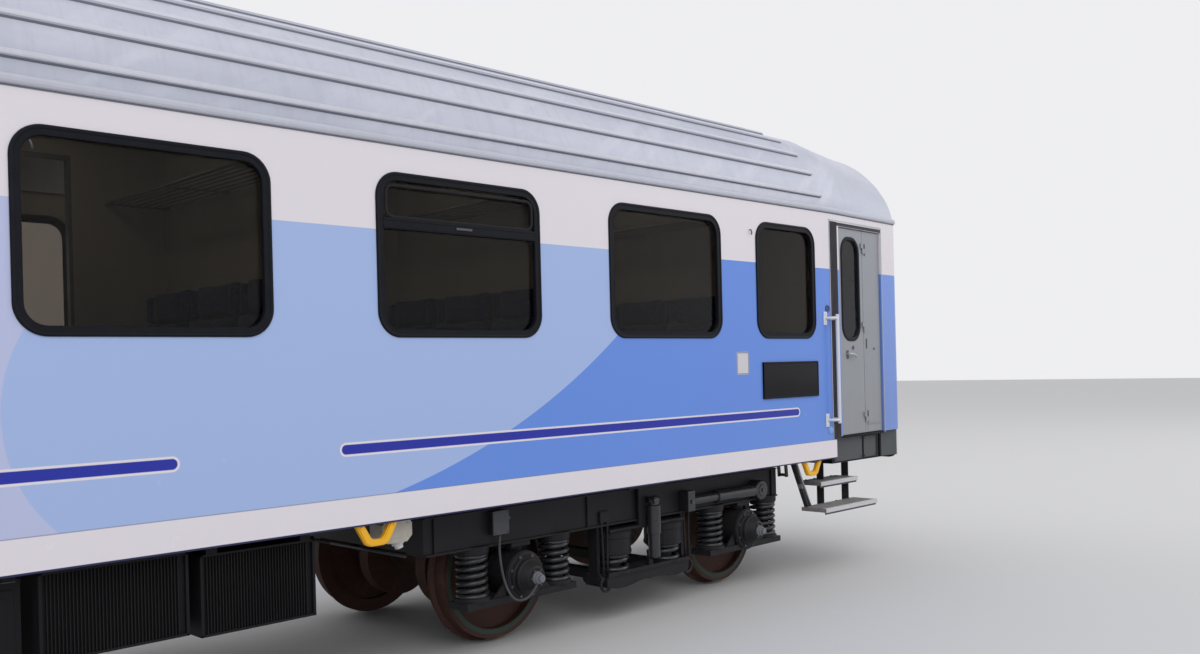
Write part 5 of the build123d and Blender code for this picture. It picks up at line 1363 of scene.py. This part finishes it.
def build_end_fittings():
    """Tail lamps, sockets, grab bars, buffers and air pipes of the ends, foot plate pattern"""
    lens, rims, boxes, bars, bright, studs = (Shape() for _ in range(6))
    lamp = (12.1100, -1.060, 1.850)
    rims.lathe(lamp, ALONG, (
        (-0.0295, 0.0765), (-0.0295, 0.0860), (-0.0200, 0.0860), (0.0015, 0.0800),
        (0.0035, 0.0760), (0.0035, 0.0700), (0.0003, 0.0690)), 40, closed=True)
    for r in (0.016, 0.032, 0.048, 0.063):
        lens.lathe(lamp, ALONG, ((0.0002, r - 0.004), (0.0030, r - 0.001), (0.0030, r + 0.001),
                                 (0.0002, r + 0.004)), 36, closed=True)
    for y, z, wide, high in ((-0.950, 1.620, 0.065, 0.075), (-1.130, 1.400, 0.055, 0.065)):
        boxes.blocks(
            ((12.081, y - wide, z - high), (12.150, y + wide, z + high), 0.008),
            ((12.150, y - wide - 0.004, z - high + 0.010),
             (12.157, y + wide + 0.004, z + high + 0.004), 0.003))
        boxes.rods([(12.115, y, z - high - 0.022)], UP, 0.024, 0.026, 16)
    # Upright grab bars over each buffer
    for y, low, high in ((-1.215, 1.420, 2.250), (-0.790, 1.420, 2.000)):
        path = [(12.082, y, low), (12.130, y, low + 0.004), (12.143, y, low + 0.030),
                (12.143, y, high - 0.030), (12.130, y, high - 0.004), (12.082, y, high)]
        bars.tube(smooth_path(path, 4), 0.0115)
        for z in (low, high):
            bars.lathe((12.0803, y, z), ALONG, ((0, 0.026), (0.006, 0.025), (0.008, 0.014)), 18)
    # Buffers: base bolts, sleeve ribs, rim of the head
    bright.rods(product((11.885,), (-1.010, -0.740), (0.955, 1.165)), ALONG, 0.018, 0.017)
    for x in (11.925, 12.055):
        bright.lathe((x, -0.875, 1.060), ALONG, (
            (0, 0.1045), (0, 0.1120), (0.018, 0.1120), (0.018, 0.1045)), 36, closed=True)
    for k in range(5):
        bright.lathe((12.082 + 0.019 * k, -0.875, 1.060), ALONG, (
            (0, 0.0875), (0.006, 0.0960), (0.012, 0.0875)), 32, closed=True)
    # Air pipe ends and cocks below the beam
    for y in (-0.250, -0.430):
        bright.tube(smooth_path([(11.70, y, 0.905), (11.84, y, 0.905), (11.905, y, 0.900),
                                 (11.945, y, 0.880)], 4), 0.0165)
        bright.rods([(11.945, y, 0.882)], (0.065, 0, -0.032), 1, 0.024, 12)
        bright.block((11.955, y - 0.006, 0.885), (11.985, y + 0.070, 0.897), 0.003)
    on_body("lamp_rings", lens, "lamp_red", "lamp_red")
    on_body("lamp_rims", rims, "box_grey", "dark_steel")
    on_body("end_socket_boxes", boxes, "box_grey", "dark_steel")
    on_body("end_grab_bars", bars, "white_rail", "white_rail")
    on_body("buffer_fittings", bright, "draw_steel", "draw_steel")
    for row in range(4):
        odd = row % 2
        add_row(studs, block_row, 17, (12.100 + row * 0.026, odd * 0.026 - 0.416, FLOOR_Z + 0.001),
                (0.0, 0.051, 0.0), (0.020, 0.006, 0.002), (0.0, 0.0, 0.7 if odd else -0.7))
    studs.join(flipped(studs, x=True))
    studs.piece("footplate_studs", "bolt_steel", "coach_body", "step_metal")


def build_gangway_leaves():
    """Glazed panels, seals, recessed pulls and edge strips of the sliding end doors, on both
    faces"""
    inner, outer = 11.970, 12.005
    window = (-0.225, 2.330, 0.236, 0.780, 0.070)
    seal, pull, pane = Shape(), Shape(), Shape()
    for face, way in ((outer, 1), (inner, -1)):
        seal.frame(*window, (
            (0.026, 0), (0.024, 0.004), (0.012, 0.0055), (0.002, 0.004), (0, 0.0005)), 6,
            place=lambda u, out, v: (face + way * out, u, v))
        pane.loft([[(x, u, v) for u, v in rounded_outline(*window, 6)]
                   for x in (face, face + way * 0.0015)])
        pull.blocks(
            ((face, -0.078, 1.910), (face + way * 0.003, -0.034, 2.130), 0.001),
            ((face + way * 0.002, -0.068, 1.922), (face + way * 0.0045, -0.044, 2.118), 0.001))
    seal.block((inner + 0.004, -0.0035, 1.270), (outer - 0.004, -0.0005, 3.190))
    for (end_name, end), (side_name, side) in product(ENDS, SIDES):
        where = f"{end_name}_{side_name}"
        for name, shape, material, slot in (("seal", seal, "black_rubber", "frame_rubber"),
                                            ("pull", pull, "rail_bright", "door_grey"),
                                            ("pane", pane, "panel_gloss", "door_glass")):
            flipped(shape, end < 0, side > 0).piece(
                f"gangway_leaf_{name}_{where}", material, f"gangway_leaf_{where}", slot)


# Stage, light and camera
def build_stage():
    """A pale floor and plain soft light"""
    data = bpy.data.meshes.new("studio_floor")
    reach = 90.0
    corners = [(-reach, -reach, 0), (reach, -reach, 0), (reach, reach, 0), (-reach, reach, 0)]
    data.from_pydata(corners, [], [(0, 1, 2, 3)])
    floor = link_object("studio_floor", data)
    new_material("studio_floor_matt", lambda place: ((0.62, 0.61, 0.60), 0.9, None))
    data.materials.append(MATERIALS["studio_floor_matt"])

    world = bpy.data.worlds.new("studio")
    bpy.context.scene.world = world
    world.use_nodes = True
    tree = world.node_tree
    tree.nodes.clear()
    rays = add_node(tree, "ShaderNodeLightPath")
    seen = Value(rays, "Is Camera Ray") | Value(rays, "Is Glossy Ray") | Value(
        rays, "Is Transmission Ray")
    pale = add_node(tree, "ShaderNodeBackground", {"Color": (0.86, 0.86, 0.88), "Strength": 1.0})
    light = add_node(tree, "ShaderNodeBackground", {"Color": (0.93, 0.95, 1.0), "Strength": 0.85})
    mixed = add_node(tree, "ShaderNodeMixShader", {0: seen, 1: Value(light), 2: Value(pale)})
    add_node(tree, "ShaderNodeOutputWorld", {0: Value(mixed)})

    # Name, place, what it looks at, size, strength
    for name, place, look, size, power in (
            ("key_light", (-6.0, -22.0, 22.0), (4.0, 0.0, 1.5), 22.0, 2600.0),
            ("end_light", (30.0, -12.0, 14.0), (10.0, 0.0, 1.5), 14.0, 900.0),
            ("back_light", (0.0, 24.0, 18.0), (0.0, 0.0, 1.5), 20.0, 1400.0)):
        lamp = bpy.data.lights.new(name, "AREA")
        lamp.size, lamp.energy = size, power
        made = link_object(name, lamp)
        made.location = place
        ahead = Vector(look) - Vector(place)
        made.rotation_euler = ahead.to_track_quat("-Z", "Y").to_euler()


def build_camera():
    """The photograph's standpoint, from a fit of edges on the side"""
    data = bpy.data.cameras.new("view")
    data.lens, data.sensor_width = 32.02, 36.0
    data.shift_x, data.shift_y = 0.0187, 0.0370
    data.clip_end = 500.0
    right = Vector((0.70782071, -0.70595135, -0.02495039))
    up = Vector((0.02005838, -0.01522023, 0.99968295))
    ahead = Vector((0.70610729, 0.70809677, -0.00338705))
    turn = Matrix((right, up, -ahead)).transposed().to_4x4()
    camera = link_object("view", data)
    camera.matrix_world = Matrix.Translation((2.5800, -6.4380, RAIL + 1.8425)) @ turn
    bpy.context.scene.camera = camera


for build in (build_springs, build_axle_box_details, build_frame_details, build_dampers,
              build_bogie_wiring, build_windows, build_doors, build_side_fittings, build_steps,
              build_lifting_brackets, build_socket_boxes, build_underfloor, build_wheels,
              build_gutters, build_roof_seams, build_benches, build_racks, build_rooms,
              build_end_fittings, build_gangway_leaves, build_stage, build_camera):
    build()
bpy.context.scene.view_settings.view_transform = "Standard"
